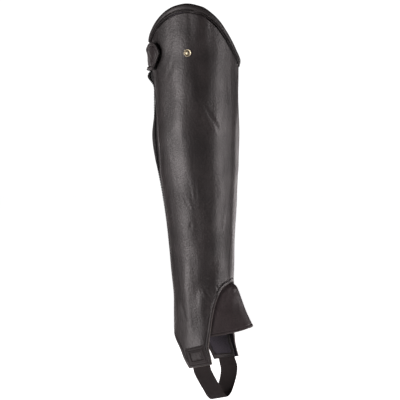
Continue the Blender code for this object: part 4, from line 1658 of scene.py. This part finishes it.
def build_floor(drop):
    """Matt white board, which glows to the camera alone and so looks evenly white."""
    material, tree, shader = new_material(
        "white studio floor", 0.9, Base_Color=linear("#F2F2F2"), Emission_Color=linear("#FFFFFF")
    )
    plug(shader, {"Emission Strength": node(tree, "ShaderNodeLightPath", output="Is Camera Ray")})
    angles = [2 * math.pi * i / FLOOR_SIDES for i in range(FLOOR_SIDES)]
    rim = [(FLOOR_RADIUS * math.cos(a), FLOOR_RADIUS * math.sin(a), CAD_LOW.z - drop) for a in angles]
    mesh = bpy.data.meshes.new("studio_floor")
    mesh.from_pydata(rim, [], [tuple(range(FLOOR_SIDES))])
    mesh.materials.append(material)
    placed("studio_floor", mesh)


def build_world():
    """White behind the object, and a dimmer room for what the leather reflects."""
    world = bpy.data.worlds.new("studio")
    world.use_nodes = True
    tree = world.node_tree
    background = tree.nodes["Background"]
    seen = node(tree, "ShaderNodeLightPath", output="Is Camera Ray")
    limits = {"Value": seen, "To Min": ROOM_LIGHT, "To Max": WHITE_BEHIND}
    strength = node(tree, "ShaderNodeMapRange", limits)
    plug(background, {"Color": linear("#FFFFFF"), "Strength": strength})
    bpy.context.scene.world = world
    bpy.context.scene.view_settings.view_transform = "Standard"


# The add-on


def colour(name, description, usual):
    usual = linear(usual)
    form = {"subtype": "COLOR", "size": 4, "min": 0.0, "max": 1.0}
    return FloatVectorProperty(name=name, description=description, default=usual, **form)


def length(name, description, usual, low, high):
    """A size in metres, from millimetres."""
    form = {"unit": "LENGTH", "min": low * MM, "max": high * MM}
    return FloatProperty(name=name, description=description, default=usual * MM, **form)


def factor(name, description, high):
    form = {"subtype": "FACTOR", "min": 0.0, "max": high}
    return FloatProperty(name=name, description=description, default=1.0, **form)


class HalfChapSettings(bpy.types.PropertyGroup):
    """Sizes and colours of the half chap's finish."""

    leather: colour("Leather", "Colour of the coated leather", "#232020")
    leather_light: colour("Leather, polished", "Colour of the leather's more polished patches", "#373333")
    lining: colour("Textile backing", "Colour of the textile inside", "#5E5763")
    elastic: colour("Strap", "Colour of the woven elastic under the foot", "#241A1A")
    thread: colour("Thread", "Colour of the sewing thread", "#2A2625")
    brass: colour("Stud", "Colour of the round stud", "#7C7259")
    grain: length("Grain", "Width of one pebble of the leather's grain", 2.5, 0.5, 6)
    crease_depth: factor("Crease depth", "How deep the leather's creases are, against the usual depth", 2.0)
    stitch: length("Stitch", "Length of one stitch", 2.6, 1, 6)
    thread_width: length("Thread width", "Width of the sewing thread", 0.55, 0.2, 1.5)
    light: factor("Light", "Strength of the studio's softboxes, against the usual strength", 4.0)
    floor_drop: length("Floor drop", "How far below the strap the studio's floor lies", 300, 0, 1000)


class HALFCHAP_OT_studio(bpy.types.Operator):
    """Sets up the camera, the softboxes and the pale floor"""

    bl_idname = "half_chap.studio"
    bl_label = "Studio"

    def execute(self, context):
        settings = context.scene.half_chap
        build_camera()
        build_softboxes(settings.light)
        build_floor(settings.floor_drop)
        build_world()
        return {"FINISHED"}


class HALFCHAP_OT_panel(bpy.types.Operator):
    """Makes the main leather panel with its turned edges and creases"""

    bl_idname = "half_chap.panel"
    bl_label = "Leather Panel"

    def execute(self, context):
        build_main_panel()
        return {"FINISHED"}


class HALFCHAP_OT_binding(bpy.types.Operator):
    """Makes the rolled binding over the top edge"""

    bl_idname = "half_chap.binding"
    bl_label = "Top Binding"

    def execute(self, context):
        build_top_binding()
        return {"FINISHED"}


class HALFCHAP_OT_gore(bpy.types.Operator):
    """Makes the ribbed elastic panel at the back"""

    bl_idname = "half_chap.gore"
    bl_label = "Elastic Panel"

    def execute(self, context):
        build_elastic_panel()
        return {"FINISHED"}


class HALFCHAP_OT_zip(bpy.types.Operator):
    """Makes the zip's tapes, teeth, slider and pull"""

    bl_idname = "half_chap.zip"
    bl_label = "Zip"

    def execute(self, context):
        for tape in build_zip_tapes():
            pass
        build_zip_chain()
        build_zip_slider()
        return {"FINISHED"}


class HALFCHAP_OT_flap(bpy.types.Operator):
    """Makes the flap over the zip's top and the snap under it"""

    bl_idname = "half_chap.flap"
    bl_label = "Snap Flap"

    def execute(self, context):
        build_snap_flap()
        build_snap_stud()
        return {"FINISHED"}


class HALFCHAP_OT_gusset(bpy.types.Operator):
    """Makes the folded gusset over the instep"""

    bl_idname = "half_chap.gusset"
    bl_label = "Instep Gusset"

    def execute(self, context):
        build_instep_gusset()
        return {"FINISHED"}


class HALFCHAP_OT_tabs(bpy.types.Operator):
    """Makes the strap under the foot and the pieces on its two tabs"""

    bl_idname = "half_chap.tabs"
    bl_label = "Strap and Tabs"

    def execute(self, context):
        build_foot_strap()
        build_tab_patch()
        build_tab_facing()
        build_tab_hem()
        return {"FINISHED"}


class HALFCHAP_OT_stud(bpy.types.Operator):
    """Makes the round stud near the top"""

    bl_idname = "half_chap.stud"
    bl_label = "Stud"

    def execute(self, context):
        build_brass_stud()
        return {"FINISHED"}


class HALFCHAP_OT_sewing(bpy.types.Operator):
    """Lays the stitches along the seams"""

    bl_idname = "half_chap.sewing"
    bl_label = "Sewing"

    def execute(self, context):
        build_sewing()
        return {"FINISHED"}


OPERATORS = (
    HALFCHAP_OT_studio,
    HALFCHAP_OT_panel,
    HALFCHAP_OT_binding,
    HALFCHAP_OT_gore,
    HALFCHAP_OT_zip,
    HALFCHAP_OT_flap,
    HALFCHAP_OT_gusset,
    HALFCHAP_OT_tabs,
    HALFCHAP_OT_stud,
    HALFCHAP_OT_sewing,
)


class HALFCHAP_PT_sidebar(bpy.types.Panel):
    """Lists the half chap's settings and pieces"""

    bl_idname = "HALFCHAP_PT_sidebar"
    bl_label = "Half Chap"
    bl_space_type = "VIEW_3D"
    bl_region_type = "UI"
    bl_category = "Half Chap"

    def draw(self, context):
        for name in HalfChapSettings.__annotations__:
            self.layout.prop(context.scene.half_chap, name)
        for operator in OPERATORS:
            self.layout.operator(operator.bl_idname)


def register():
    for kind in (HalfChapSettings, *OPERATORS, HALFCHAP_PT_sidebar):
        bpy.utils.register_class(kind)
    bpy.types.Scene.half_chap = PointerProperty(type=HalfChapSettings)


def unregister():
    del bpy.types.Scene.half_chap
    for kind in reversed((HalfChapSettings, *OPERATORS, HALFCHAP_PT_sidebar)):
        bpy.utils.unregister_class(kind)


def main():
    register()
    for operator in OPERATORS:
        getattr(bpy.ops.half_chap, operator.bl_idname.split(".")[1])()


if __name__ == "__main__":
    main()
